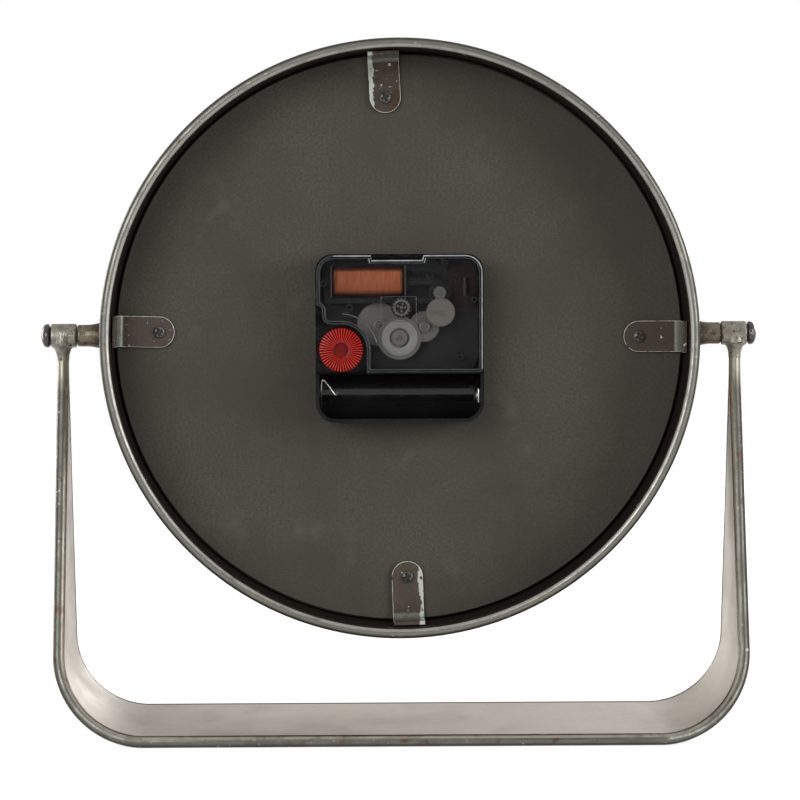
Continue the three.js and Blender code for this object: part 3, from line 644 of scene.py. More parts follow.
@dataclass(frozen=True)
class Finish:
    """What every finish has: a name and how it is made only once."""

    name: str

    def material(self) -> bpy.types.Material:
        """Makes this finish on first use.

        Returns:
            The material.
        """
        found = bpy.data.materials.get(self.name)
        if found:
            return found
        made = bpy.data.materials.new(self.name)
        tree = emptied(made)
        shader = self.shader(tree)
        add_node(tree, "ShaderNodeOutputMaterial", {}, {"Surface": shader.outputs[0]})
        return made

    def shader(self, tree: Tree) -> bpy.types.Node:
        """Adds this finish's nodes and returns the last one."""
        raise NotImplementedError


@dataclass(frozen=True)
class WornMetal(Finish):
    """Steel under a thin wash, clouded, stained brown, pitted and flecked bare; a roll also gets painted
    shade on its flanks and in its groove and a painted highlight over its inner half.
    """

    hue: str
    cloud_hue: str
    stain_hue: str
    # bare_hue: the bare metal of the flecks and, on a roll, its painted highlight
    bare_hue: str
    roughness: float = 0.45
    metallic: float = 0.85
    cloud: float = 16.0  # width of the clouds in the wash
    stain: float = 5.0  # width of the stains
    stain_from: float = 0.6  # noise value where they start
    stain_fade: float = 0.09  # how softly they end
    pit: float = 0.9  # width of the pits, drawn a little coarser than they are
    pit_depth: float = 0.05
    wear: float = 0.66  # noise value where bare flecks start
    wear_fade: float = 0.04  # how softly they end
    flank_hue: str = ""  # painted shade on the outer flanks
    flank: Flat = (-0.25, -0.8)  # values between which a flank gets its painted shade
    grime_hue: str = "#2e241d"  # of the grime and painted shade in the groove along the seam
    rolled: bool = False  # a roll, whose painted shade and highlight follow the value that tells how far a surface faces inwards
    rubbed_from: float = 0.1  # value where its painted highlight starts
    rubbed_fade: float = 0.3
    grime_from: float = 0.66  # value where the grime and painted shade in its groove start
    grime_fade: float = 0.2
    stretch: Point = (1, 1, 1)  # how much finer the clouds and stains are along each axis
    weld_hue: str = ""  # of the metal beside a weld, by the value that tells how near it is
    weld_full: float = 0.75  # value where that metal is whole
    seamed: bool = False  # a sheet with grime and painted shade along its sides
    seam: Flat = (3.6, 2.3)  # distances from a side between which the grime and painted shade set in

    def shader(self, tree: Tree) -> bpy.types.Node:
        """Adds the wash, its wear, its pits and on a roll its painted shade and highlight.

        Args:
            tree: The node tree.

        Returns:
            The shader.
        """
        clouds = spots(tree, self.cloud, low=0.38, high=0.64, stretch=self.stretch)
        stains = spots(tree, self.stain, self.stain_from, self.stain_from + self.stain_fade, self.stretch)
        pits = spots(tree, self.pit, low=0.6, high=0.7)
        flecks = spots(tree, 2 * self.pit, self.wear, self.wear + self.wear_fade)
        layers = [(self.cloud_hue, clouds), (self.stain_hue, stains)]
        if self.rolled:
            # On a roll: painted shade on the outer flank, a patchy painted highlight over the inner half,
            # grime and painted shade in the groove.
            flank = written(tree, INWARD, *self.flank)
            broken = spots(tree, 6 * self.pit, low=0.25, high=0.5, detail=5)
            inner = written(tree, INWARD, self.rubbed_from, self.rubbed_from + self.rubbed_fade)
            groove = written(tree, INWARD, self.grime_from, self.grime_from + self.grime_fade)
            layers += [(self.flank_hue, flank), (self.bare_hue, both(tree, inner, broken))]
            layers.append((self.grime_hue, groove))
        layers += [(self.bare_hue, flecks), (self.stain_hue, both(tree, pits, stains))]
        if self.weld_hue:
            near = written(tree, NEAR_WELD, 0, self.weld_full)
            layers.append((self.weld_hue, both(tree, near, spots(tree, size=2.0, low=0.1, high=0.4))))
        if self.seamed:
            # Grime and painted shade along the sheet's sides, where it meets the wires.
            beside = written(tree, FROM_EDGE, *self.seam)
            layers.append((self.grime_hue, both(tree, beside, spots(tree, size=6.0, low=0.2, high=0.45))))
        links = {
            "Base Color": layered(tree, self.hue, layers),
            "Metallic": self.metallic,
            "Roughness": spread(tree, clouds, self.roughness - 0.06, self.roughness + 0.1),
            "Normal": relief(tree, [(pits, -self.pit_depth), (clouds, 2 * self.pit_depth)]),
        }
        return add_node(tree, "ShaderNodeBsdfPrincipled", {}, links)


@dataclass(frozen=True)
class ChippedPaint(Finish):
    """Sprayed enamel on steel, with chips down to bright metal."""

    hue: str
    cloud_hue: str
    bare_hue: str = "#c9c5bb"
    roughness: float = 0.4
    chip: float = 1.6  # width of a chip
    chip_from: float = 0.7  # noise value where a chip starts
    cloud: float = 7.0  # width of the clouds in the paint
    metallic: float = 0.35
    shine: float = 0.5  # share of the mirror light it sends back, where 0.5 is usual
    flake_hue: str = ""  # of the primer where the paint has peeled off along a side
    peel: Flat = (3.4, 0.2)  # distances from that side between which it peels more and more
    fold_hue: str = ""  # of the dulled paint over a bend, by how far into the bend a place is

    def shader(self, tree: Tree) -> bpy.types.Node:
        """Adds the paint and its chips.

        Args:
            tree: The node tree.

        Returns:
            The shader.
        """
        clouds = spots(tree, self.cloud, low=0.35, high=0.65)
        chips = spots(tree, self.chip, self.chip_from, self.chip_from + 0.02, detail=5)
        grain = spots(tree, size=0.5, low=0.3, high=0.7)
        layers = [(self.cloud_hue, clouds), (self.bare_hue, chips)]
        if self.fold_hue:
            dulled = spots(tree, size=2.5, low=0.2, high=0.5)
            layers.insert(1, (self.fold_hue, both(tree, written(tree, FOLD, 0, 1), dulled)))
        if self.flake_hue:
            ragged = spots(tree, size=5.0, low=0.25, high=0.7, detail=6)
            near = both(tree, written(tree, FROM_EDGE, *self.peel), ragged)
            limits = {"Value": near, "From Min": 0.3, "From Max": 0.34}
            layers.append((self.flake_hue, add_node(tree, "ShaderNodeMapRange", {}, limits).outputs[0]))
        links = {
            "Base Color": layered(tree, self.hue, layers),
            "Metallic": spread(tree, chips, self.metallic, 0.9),
            "Specular IOR Level": self.shine,
            "Roughness": spread(tree, clouds, self.roughness - 0.05, self.roughness + 0.12),
            "Normal": relief(tree, [(chips, -0.06), (grain, 0.01)]),
        }
        return add_node(tree, "ShaderNodeBsdfPrincipled", {}, links)


@dataclass(frozen=True)
class Moulding(Finish):
    """A moulded plastic: one colour through, with a faint cloudiness, hairline scuffs and, where asked,
    painted shade in its hollows.
    """

    hue: str
    cloud_hue: str
    roughness: float = 0.25
    hollow_hue: str = ""  # of the painted shade in its hollows, by the value written on the piece
    glow: float = 0.0  # how far light goes into it, as a share
    alpha: float = 1.0
    scuff: float = 0.008  # depth of the scuffs
    cloud: float = 9.0  # width of the cloudiness
    metallic: float = 0.0
    shine: float = 0.5  # share of the mirror light it sends back, where 0.5 is usual

    def shader(self, tree: Tree) -> bpy.types.Node:
        """Adds the plastic.

        Args:
            tree: The node tree.

        Returns:
            The shader.
        """
        clouds = spots(tree, self.cloud, low=0.3, high=0.7)
        scuffs = spots(tree, size=1.2, low=0.58, high=0.66, stretch=(1, 1, 6))
        layers = [(self.cloud_hue, clouds)]
        if self.hollow_hue:
            layers.append((self.hollow_hue, written(tree, HOLLOW_SHADE, 0.1, 1.0)))
        links = {
            "Base Color": layered(tree, self.hue, layers),
            "Metallic": self.metallic,
            "Roughness": spread(tree, clouds, self.roughness, self.roughness + 0.08),
            "IOR": 1.5,
            "Specular IOR Level": self.shine,
            "Alpha": self.alpha,
            "Subsurface Weight": self.glow,
            "Subsurface Scale": 1.5 * MM,
            "Normal": relief(tree, [(scuffs, -self.scuff)]),
        }
        return add_node(tree, "ShaderNodeBsdfPrincipled", {}, links)


@dataclass(frozen=True)
class Fibre(Finish):
    """Pressed or printed fibre: a matt sheet with a fine tooth, clouds and a few rubbed marks."""

    hue: str
    cloud_hue: str
    rub_hue: str
    cloud: float = 45.0  # width of the clouds
    tooth: float = 0.9  # width of the tooth's bumps, drawn coarser than they are
    rub: float = 26.0  # width of a rubbed mark
    rub_from: float = 0.66  # noise value where a rubbed mark starts
    roughness: float = 0.8
    depth: float = 0.03  # of the tooth

    def shader(self, tree: Tree) -> bpy.types.Node:
        """Adds the sheet.

        Args:
            tree: The node tree.

        Returns:
            The shader.
        """
        clouds = spots(tree, self.cloud, low=0.36, high=0.64, detail=4)
        tooth = spots(tree, self.tooth, low=0.36, high=0.64)
        rubs = spots(tree, self.rub, self.rub_from, self.rub_from + 0.1)
        fine = spread(tree, tooth, 0, 0.8)
        layers = [(self.cloud_hue, clouds), (self.cloud_hue, fine), (self.rub_hue, rubs)]
        links = {
            "Base Color": layered(tree, self.hue, layers),
            "Roughness": spread(tree, tooth, self.roughness - 0.05, self.roughness + 0.08),
            "IOR": 1.45,
            "Specular IOR Level": 0.3,
            "Normal": relief(tree, [(tooth, self.depth)]),
        }
        return add_node(tree, "ShaderNodeBsdfPrincipled", {}, links)


@dataclass(frozen=True)
class FineWire(Finish):
    """Enamelled wire wound close: fine turns side by side across the winding's length."""

    hue: str
    groove_hue: str
    cloud_hue: str = "#a45e3e"
    pitch: float = 0.32  # of the turns, drawn coarser than the hair-fine wire to show
    roughness: float = 0.34

    def shader(self, tree: Tree) -> bpy.types.Node:
        """Adds the turns.

        Args:
            tree: The node tree.

        Returns:
            The shader.
        """
        place = add_node(tree, "ShaderNodeTexCoord").outputs["Object"]
        bands = {"wave_type": "BANDS", "bands_direction": "X", "wave_profile": "SIN"}
        scale = math.pi / (10 * self.pitch * MM)  # a band's phase runs at 20 times the scale
        detail = {"Vector": place, "Scale": scale, "Distortion": 0.6, "Detail": 2.0}
        turns = add_node(tree, "ShaderNodeTexWave", bands, detail).outputs["Fac"]
        clouds = spots(tree, size=3.0, low=0.35, high=0.65, stretch=(5, 1, 0.7))
        limits = {"Value": turns, "From Min": 0.35, "From Max": 0.0}
        gaps = add_node(tree, "ShaderNodeMapRange", {}, limits).outputs[0]
        links = {
            "Base Color": layered(tree, self.hue, [(self.groove_hue, gaps), (self.cloud_hue, clouds)]),
            "Metallic": 0.75,
            "Roughness": self.roughness,
            "Normal": relief(tree, [(turns, 0.06)]),
        }
        return add_node(tree, "ShaderNodeBsdfPrincipled", {}, links)


@dataclass(frozen=True)
class PlainGlass(Finish):
    """Float glass, so clear that only its reflections and a trace of its green body show."""

    hue: str = "#1a2621"
    alpha: float = 0.07

    def shader(self, tree: Tree) -> bpy.types.Node:
        """Adds the glass.

        Args:
            tree: The node tree.

        Returns:
            The shader.
        """
        dust = spots(tree, size=2.0, low=0.6, high=0.8)
        links = {
            "Base Color": linear(self.hue),
            "Roughness": spread(tree, dust, 0.02, 0.06),
            "IOR": 1.52,
            "Alpha": self.alpha,
        }
        return add_node(tree, "ShaderNodeBsdfPrincipled", {}, links)


# Zinc-washed sheet: pale, warm and faintly mottled, with grime and painted shade where it meets the wires.
WASHED_STEEL = WornMetal(
    "zinc_washed_sheet_steel",
    "#aea79e",
    "#aaa39a",
    "#a2998f",
    "#c8c2ba",
    roughness=0.6,
    metallic=0.5,
    stretch=(1.2, 0.5, 1.2),
    stain=9.0,
    stain_from=0.52,
    stain_fade=0.3,
    pit_depth=0.015,
    wear=0.7,
    seamed=True,
)
# The same sheet on the case's outside, without the grime and painted shade of the stand's seams.
BAND_STEEL = WornMetal(
    "zinc_washed_band_steel",
    "#a39c92",
    "#9d968c",
    "#948c80",
    "#bbb6ae",
    roughness=0.5,
    metallic=0.6,
    stain=8.0,
    stain_from=0.5,
    stain_fade=0.3,
    pit_depth=0.015,
)
# The stand's wired edges: brown-black painted shade outside, greenish grey, a painted highlight beside the
# sheet, and grime and painted shade in the groove.
WIRED_STEEL = WornMetal(
    "gunmetal_wired_edge",
    "#666860",
    "#585850",
    "#5a463a",
    "#958b7f",
    roughness=0.36,
    metallic=0.75,
    cloud=9.0,
    rubbed_from=0.3,
    grime_from=0.78,
    pit_depth=0.03,
    flank_hue="#352a22",
    rolled=True,
    weld_hue="#8a8678",
)
# The case's rolled rims: paler, with a soft silver painted highlight over their inner half, painted shade
# on their outer flank and grime and painted shade by their seam.
RIM_STEEL = WornMetal(
    "rolled_rim_painted_highlight",
    "#6f6f66",
    "#62615a",
    "#5f4b3c",
    "#8c8a85",
    roughness=0.34,
    metallic=0.6,
    cloud=11.0,
    stain_from=0.64,
    pit_depth=0.03,
    flank_hue="#2f2923",
    rolled=True,
)
# Welded eyes: blasted grey, finely pitted and stained brown.
WELDED_STEEL = WornMetal(
    "pitted_welded_steel",
    "#88847a",
    "#706c62",
    "#4a3d32",
    "#d0ccc2",
    roughness=0.38,
    metallic=0.75,
    cloud=3.5,
    stain=1.6,
    stain_from=0.57,
    pit=0.5,
    pit_depth=0.07,
    wear=0.65,
)
# Bosses: the same metal, darker and browner towards the case.
BOSS_STEEL = WornMetal(
    "boss_steel_darker_to_case",
    "#77705f",
    "#5d5546",
    "#3c3028",
    "#b8b3a5",
    roughness=0.4,
    metallic=0.75,
    cloud=4.0,
    stain=2.4,
    stain_from=0.55,
    pit=0.6,
    pit_depth=0.08,
    wear=0.65,
    weld_hue="#30261f",
)
# Pin heads: turned, browned dark and rubbed.
BROWNED_STEEL = WornMetal(
    "browned_turned_steel", "#4f4946", "#3f3a38", "#342a25", "#b9aea6", roughness=0.3, cloud=3.0, stain=2.5
)
# Inside of the case: brown-black paint, made darker still as painted shade of the deep wall.
WALL_PAINT_AND_SHADE = ChippedPaint(
    "brown_black_wall_paint_and_shade", "#170f0b", "#110b08", "#3d332c", 0.7, chip_from=0.8, metallic=0.0, shine=0.1
)
# Clips: dark brown lacquer, glossy and chipped to bright metal.
CLIP_PAINT = ChippedPaint(
    "chipped_brown_lacquer",
    "#43362b",
    "#352a22",
    roughness=0.26,
    chip=1.7,
    chip_from=0.65,
    metallic=0.2,
    fold_hue="#6d7268",
)
# The same on the upper and lower clips, which have peeled along a side down to grey primer.
PEELED_PAINT = replace(CLIP_PAINT, name="peeled_brown_lacquer", flake_hue="#aab0a7")
# The clips' cut edges: lacquer rubbed through to steel along most of their length.
CLIP_EDGE = ChippedPaint(
    "lacquer_rubbed_edge",
    "#e4e0d8",
    "#b3aca0",
    "#4a3d32",
    chip=2.4,
    chip_from=0.62,
    cloud=3.0,
    metallic=0.1,
)
# Screws: black oxide on steel, coloured dark grey as a painted sheen.
BLACK_OXIDE_PAINTED_SHEEN = Moulding("black_oxide_painted_sheen", "#5a5550", "#302d2b", 0.3, metallic=0.25, cloud=1.2)
# Painted shade in their cross recesses.
RECESS_PAINTED_SHADE = Moulding("painted_shade_in_recess", "#070707", "#0d0c0c", 0.5, cloud=1.5)
# Board: pressed fibre dyed charcoal, matt and faintly clouded, with a few paler rubbed marks.
CHARCOAL_BOARD = Fibre("charcoal_fibre_board", "#47443c", "#3b3831", "#49463e", rub_from=0.6)
# Dial sheet: cream print stock with a little yellowing.
CREAM_SHEET = Fibre("cream_dial_stock", "#e9e2cf", "#e2d9c2", "#d9ccb0", tooth=0.5, depth=0.01)
# Marks and numerals: screen ink, matt black.
BLACK_INK = Fibre("black_screen_ink", "#1d1c1b", "#262423", "#2f2d2b", tooth=0.5, depth=0.005)
# Hands and spacer: sprayed enamel with a satin sheen.
SATIN_BLACK = ChippedPaint("satin_black_enamel", "#191919", "#212020", "#55524c", 0.38, chip_from=0.8)
# Front glass: clear float glass, of which only the reflections show.
GLASS = PlainGlass("float_glass")
# Nut and washer: turned brass, a little dulled.
BRASS = WornMetal(
    "turned_brass", "#b89a55", "#a98a48", "#8a6d3a", "#d0b878", roughness=0.28, cloud=4, pit_depth=0.01
)
# Housing: ABS from a polished mould, black and glossy.
GLOSSY_BLACK = Moulding("glossy_black_abs", "#0a0a0b", "#0e0e0f", 0.08, shine=0.35)
# Train plate and posts: the same from an etched mould, which leaves a satin face.
SATIN_PLATE = Moulding("satin_black_abs", "#0e0e10", "#232325", 0.45, cloud=0.7)
# Cover: smoke-tinted clear styrene, which dims what lies behind it.
SMOKY_CLEAR = Moulding("smoky_clear_styrene", "#111113", "#161618", 0.06, alpha=0.26, cloud=5.0)
# The cover's rounded edges along its top and far side: pale grey, a painted highlight.
PAINTED_HIGHLIGHT_EDGE = Moulding("styrene_painted_highlight", "#b4b8bc", "#7b7f83", 0.1, alpha=0.9, cloud=4.0)
# Its other slopes and ridges: mid grey, a fainter painted highlight.
FAINT_PAINTED_HIGHLIGHT = Moulding("styrene_faint_painted_highlight", "#55595a", "#3f4344", 0.1, alpha=0.75, cloud=4.0)
# Wheels: unfilled nylon, milky grey behind the cover.
MILKY_NYLON = Moulding("milky_nylon", "#96918a", "#8a857e", 0.35, glow=0.04)
# The seconds wheel's boss: a paler nylon that light goes further into.
PALE_NYLON = Moulding("pale_nylon_boss", "#b9bab6", "#abaca8", 0.35, glow=0.2)
# Stator: a stack of electrical steel, dark under its oil.
OILED_STEEL = WornMetal(
    "oiled_electrical_steel", "#3d3d3f", "#323234", "#29241f", "#6a6a6a", cloud=4.0, pit_depth=0.005
)
# Knob: red polypropylene, smooth on its flutes, with painted shade down between them.
KNOB_RED = Moulding("red_polypropylene", "#ad231b", "#9c1e17", 0.2, "#520807", glow=0.05, cloud=3.0)
# The knob's sunk hub, where the same red lies in its own shade.
KNOB_HUB = Moulding("red_polypropylene_hub", "#68100d", "#540c0a", 0.5, cloud=3.0, shine=0.1)
# Bobbin: amber nylon, dull in the shade of the cover.
BOBBIN_AMBER = Moulding("amber_bobbin_nylon", "#5f5546", "#544b3d", 0.4, glow=0.1)
# Winding: enamelled copper wire, orange-brown with a dark line between its turns.
COPPER_WIRE = FineWire("enamelled_copper_wire", "#9a5334", "#783f29")
# Battery contacts: nickel plate, bright with a few dull stains.
NICKEL = WornMetal(
    "nickel_plate", "#c9c8c2", "#bab8b1", "#8f8a80", "#e0dfda", roughness=0.2, cloud=3, pit_depth=0.005
)
# Quartz can: tin plate gone dark grey.
TARNISHED_TIN = WornMetal(
    "tarnished_tin", "#4a4844", "#3e3c39", "#332d27", "#6a6862", metallic=0.6, cloud=3.0, pit_depth=0.005
)
# The star behind the window: a dull pale pressing, its studs pale dots that are painted glints.
PALE_PRESSING_AND_GLINTS = WornMetal(
    "pale_pressed_steel_and_painted_glints", "#9a9890", "#7c7a73", "#55504a", "#b5b3ab", metallic=0.2, cloud=1, pit_depth=0.005
)
# Circuit board: brown paper laminate with a low sheen.
LAMINATE = Fibre("brown_laminate", "#402a22", "#33211b", "#4c352b", cloud=5, roughness=0.5)


def settle(
    piece: Piece, body: str, finishes: Sequence[Finish], replaced: Sequence[str] = ()
) -> None:
    """Dresses a finished piece and lets it ride on a body.

    Args:
        piece: The piece, in place.
        body: The body it moves with.
        finishes: Its finishes, by the numbers its faces hold.
        replaced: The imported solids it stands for.
    """
    while len(piece.data.materials) < len(finishes):
        piece.data.materials.append(None)
    for number, finish in enumerate(finishes):
        piece.data.materials[number] = finish.material()
    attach(piece, body)
    if replaced:
        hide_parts(*replaced)
    faces = len(piece.data.polygons)
    LOG.info("%s rides on %s, %d faces, %s", piece.name, body, faces, finishes[0].name)


def dress(finish: Finish, *nodes: str) -> None:
    """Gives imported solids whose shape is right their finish.

    Args:
        finish: The finish.
        *nodes: Names of the solids.
    """
    for node in nodes:
        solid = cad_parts[node]
        solid.data.materials.clear()
        solid.data.materials.append(finish.material())
        LOG.info("%s stays, %s", node, finish.name)


# ---- stand


@dataclass
class Stand:
    """The U of sheet strip with wired edges and an eye at the top of each arm."""

    wire: float = 1.95  # radius of the wired edges
    corner: float = 29.5  # radius of the corners, outside
    bar: float = 5.3  # length of the single bar under the eye
    wall: float = 0.8  # of the strip
    proud: float = 0.25  # how far the wires stand over the strip inside
    corner_steps: int = 22  # flats round a corner
    straight_steps: int = 14  # flats down an arm
    foot_steps: int = 8  # flats along the foot
    across_steps: int = 16  # flats across the strip
    blend: float = 12.0  # how far down the bar the weld's grey fades out
    eye_radius: float = 4.0
    bore: float = 2.5
    soft: float = 0.45  # width of the eye's rounded edges
    neck_top: float = 4.1
    neck_bottom: float = 2.05
    neck_overlap: float = 1.5  # how far the weld runs down the bar
    # The neck's flare: shares of its spread and of its rise.
    flare: tuple[Flat, ...] = ((0, 0), (0.04, 0.2), (0.15, 0.34), (0.36, 0.46), (0.66, 0.55), (1, 0.62))
    weld_grain: float = 0.24  # size of the cells in which the weld is blended
    box: Box = field(default_factory=lambda: Box.of("stand_edge_rear"))

    def __post_init__(self) -> None:
        """Works out where the edges part and how they spread."""
        self.arm = self.box.high.x
        self.half = self.box.high.y
        self.parting = self.box.high.z - self.bar
        turn = (self.corner - self.wire) * math.pi / 2
        self.straight = self.parting - self.corner
        self.taper = self.straight + turn

    def half_depth(self, run: float) -> float:
        """Half the stand's depth at a run down the arm."""
        share = min(max(run / self.taper, 0), 1)
        return self.wire + (self.half - self.wire) * share

    def stations(self, under: float, start: float) -> list[Point]:
        """Places down one arm to the end of its corner.

        Args:
            under: Depth under the outside face.
            start: The run to start at.

        Returns:
            A run, an X and a Z for each place.
        """
        shares = [step / self.straight_steps for step in range(self.straight_steps)]
        runs = [start + (self.straight - start) * share for share in shares]
        places = [(run, self.arm - under, self.parting - run) for run in runs]
        for step in range(self.corner_steps + 1):
            angle = math.pi / 2 * step / self.corner_steps
            run = self.straight + angle * (self.corner - self.wire)
            x = self.arm - self.corner + (self.corner - under) * math.cos(angle)
            z = self.corner - (self.corner - under) * math.sin(angle)
            places.append((run, x, z))
        return places

    def whole(self, under: float, start: float) -> list[Point]:
        """Places down the left arm, along the foot and up the right arm.

        Args:
            under: Depth under the outside face.
            start: The run to start at.

        Returns:
            A run, an X and a Z for each place.
        """
        right = self.stations(under, start)
        foot = right[-1]
        shares = [2 * step / self.foot_steps - 1 for step in range(1, self.foot_steps)]
        inner = [(foot[0], foot[1] * share, foot[2]) for share in shares]
        return [(run, -x, z) for run, x, z in right] + inner + right[::-1]

    def edge(self, name: str, side: int) -> Piece:
        """Models one wired edge, with its own half of the bars under the eyes.

        Args:
            name: Its name.
            side: 1 for the rear edge, -1 for the front one.

        Returns:
            The edge.
        """
        places = self.whole(self.wire, -self.bar)
        line = [(x, side * (self.half_depth(run) - self.wire), z) for run, x, z in places]
        piece = swept(name, line, self.wire, 6)
        with editing(piece):
            cut = {"plane_co": (0, 0, 0), "plane_no": (0, side, 0)}
            bpy.ops.mesh.bisect(**cut, clear_inner=True, use_fill=True)
        bend = Vector((self.arm - self.corner, 0, self.corner))

        def inward(place: Vector, normal: Vector) -> float:
            """How far the surface faces the inside of the U."""
            inside = Vector((min(max(place.x, -bend.x), bend.x), place.y, max(place.z, bend.z)))
            return normal.dot((inside - place).normalized())

        def near_weld(place: Vector, normal: Vector) -> float:
            """How near a place on the bar is to the eye's weld."""
            return max(0.0, 1 - (self.parting + self.bar - place.z) / self.blend)

        marked(smooth(closed(piece), 50), NEAR_WELD, near_weld)
        return marked(piece, INWARD, inward)

    def strip(self) -> Piece:
        """Models the strip as one bent sheet tucked into the wires.

        Returns:
            The strip.
        """
        tucked = self.wire / 2
        start = tucked * self.taper / (self.half - self.wire)
        places = self.whole(2 * self.wire - self.proud - self.wall / 2, start)
        grid = bpy.ops.mesh.primitive_grid_add
        last = len(places) - 1
        piece = added("strip", grid, x_subdivisions=last, y_subdivisions=self.across_steps, size=2)
        edge = piece.data.attributes.new(FROM_EDGE, "FLOAT", "POINT")
        for vertex, value in zip(piece.data.vertices, edge.data):
            run, x, z = places[round((vertex.co.x + 1) / 2 * last)]
            reach = self.half_depth(run) - self.wire
            value.value = self.wire + reach * (1 - abs(vertex.co.y))
            vertex.co = Vector((x, reach * vertex.co.y, z)) * MM
        with editing(piece):
            bpy.ops.mesh.normals_make_consistent(inside=False)
        shaped(piece, "SOLIDIFY", thickness=self.wall * MM, offset=0, use_even_offset=True)
        return smooth(piece, 40)

    def eye(self, name: str, node: str, side: Side) -> Piece:
        """Models an eye, its flared neck and the weld between them as one blended form.

        Args:
            name: Its name.
            node: The solid it stands for.
            side: The side it is on.

        Returns:
            The eye.
        """
        solid = Box.of(node)
        pivot = solid.high.z - self.eye_radius
        length = solid.high.x - solid.low.x
        barrel = [(0, 0), (self.eye_radius, 0), (self.eye_radius, length), (0, length)]
        ring = turned(name, barrel, 48)
        bevelled(ring, self.soft, 3)
        placed(ring, (solid.low.x, 0, pivot), Turn.RIGHT)
        foot = solid.low.z - self.neck_overlap
        rise = pivot - foot
        spread_by = self.neck_top - self.neck_bottom
        flare = [(self.neck_bottom + spread_by * out, rise * up) for out, up in self.flare]
        neck = turned("neck", [(0, 0), *flare, (self.neck_top, rise), (0, rise)], 40)
        placed(neck, (side * (self.arm - self.wire), 0, foot), Turn.UP)
        combined(ring, "UNION", neck)
        shaped(ring, "REMESH", mode="VOXEL", voxel_size=self.weld_grain * MM)
        shaped(ring, "SMOOTH", factor=0.5, iterations=5)
        hole = rod("hole", self.bore, (-length, length))
        placed(hole, (solid.middle.x, 0, pivot), Turn.RIGHT)
        return smooth(combined(ring, "DIFFERENCE", hole), 45)

    def build(self) -> None:
        """Models the stand and dresses it."""
        for place, side in FACINGS.items():
            edge = self.edge(f"wired_edge_{place}", side)
            settle(edge, "stand", [WIRED_STEEL], [f"stand_edge_{place}"])
        settle(self.strip(), "stand", [WASHED_STEEL], ["stand_strip"])
        for side in Side:
            place = side.name.lower()
            eye = self.eye(f"welded_eye_{place}", f"eye_{place}", side)
            settle(eye, "stand", [WELDED_STEEL], [f"eye_{place}"])


@dataclass
class Pivots:
    """The pin and the boss at each side of the case."""

    bore: float = 2.5
    shaft: float = 2.3
    tuck: float = 0.6  # how far the boss's foot goes into the band
    flare: float = 7.0  # how far out the weld at the boss's foot reaches
    flare_curve: float = 1.5  # how hollow that weld is
    flare_steps: int = 8
    neck: float = 0.7  # radius of the boss's neck, as a share of its foot
    heat: float = 0.9  # how far out from the case it is darker, as a share of its length
    soft: float = 0.3  # width of the boss's softened edge
    head_soft: float = 0.5  # width of the pin head's lower edge
    head_rim: float = 0.4  # height of the head's rim, as a share of the head
    dome: tuple[float, ...] = (0.3, 0.6, 0.9, 1.2, 1.4)  # angles up the head's dome, in radians
    round_steps: int = 48

    def boss(self, place: str, side: Side) -> Piece:
        """Models a boss with the fillet of its weld.

        Args:
            place: The side's name in the solids.
            side: The side it is on.

        Returns:
            The boss.
        """
        solid = Box.of(f"boss_{place}")
        pin = Box.of(f"pivot_pin_{place}")
        foot = (solid.high.z - solid.low.z) / 2
        length = solid.high.x - solid.low.x
        neck = foot * self.neck
        profile = [(0, -self.tuck), (foot, -self.tuck)]
        for share in [step / self.flare_steps for step in range(self.flare_steps + 1)]:
            radius = neck + (foot - neck) * (1 - share) ** self.flare_curve
            profile.append((radius, FIT + self.flare * share))
        profile += [(neck, length - self.soft), (neck - self.soft, length), (self.bore, length)]
        start = solid.near(side)
        inner = abs(pin.near(side)) - abs(start)
        profile += [(self.bore, inner), (0, inner)]
        piece = turned(f"welded_boss_{place}", profile, self.round_steps)
        placed(piece, (start, 0, solid.middle.z), Turn[side.name])
        marked(piece, NEAR_WELD, lambda place, normal: 1 - abs(place.x - start) / (self.heat * length))
        return smooth(piece, 40)

    def pin(self, place: str, side: Side) -> Piece:
        """Models a pin with a rimmed, domed head.

        Args:
            place: The side's name in the solids.
            side: The side it is on.

        Returns:
            The pin.
        """
        solid = Box.of(f"pivot_pin_{place}")
        eye = Box.of(f"eye_{place}")
        head = (solid.high.z - solid.low.z) / 2
        length = solid.high.x - solid.low.x
        start = solid.near(side)
        base = max(abs(eye.low.x), abs(eye.high.x)) + FIT - abs(start)
        rim = base + self.head_rim * (length - base)
        soft = self.head_soft
        profile = [(0, 0), (self.shaft, 0), (self.shaft, base), (head - soft, base), (head, base + soft)]
        dome = [(head * math.cos(a), rim + (length - rim) * math.sin(a)) for a in self.dome]
        profile += [(head, rim), *dome, (0, length)]
        piece = turned(f"domed_pin_{place}", profile, self.round_steps)
        placed(piece, (start, 0, solid.middle.z), Turn[side.name])
        return smooth(piece, 50)

    def build(self) -> None:
        """Models both pivots and dresses them."""
        for side in Side:
            place = side.name.lower()
            settle(self.boss(place, side), "case", [BOSS_STEEL], [f"boss_{place}"])
            settle(self.pin(place, side), "case", [BROWNED_STEEL], [f"pivot_pin_{place}"])


# ---- case


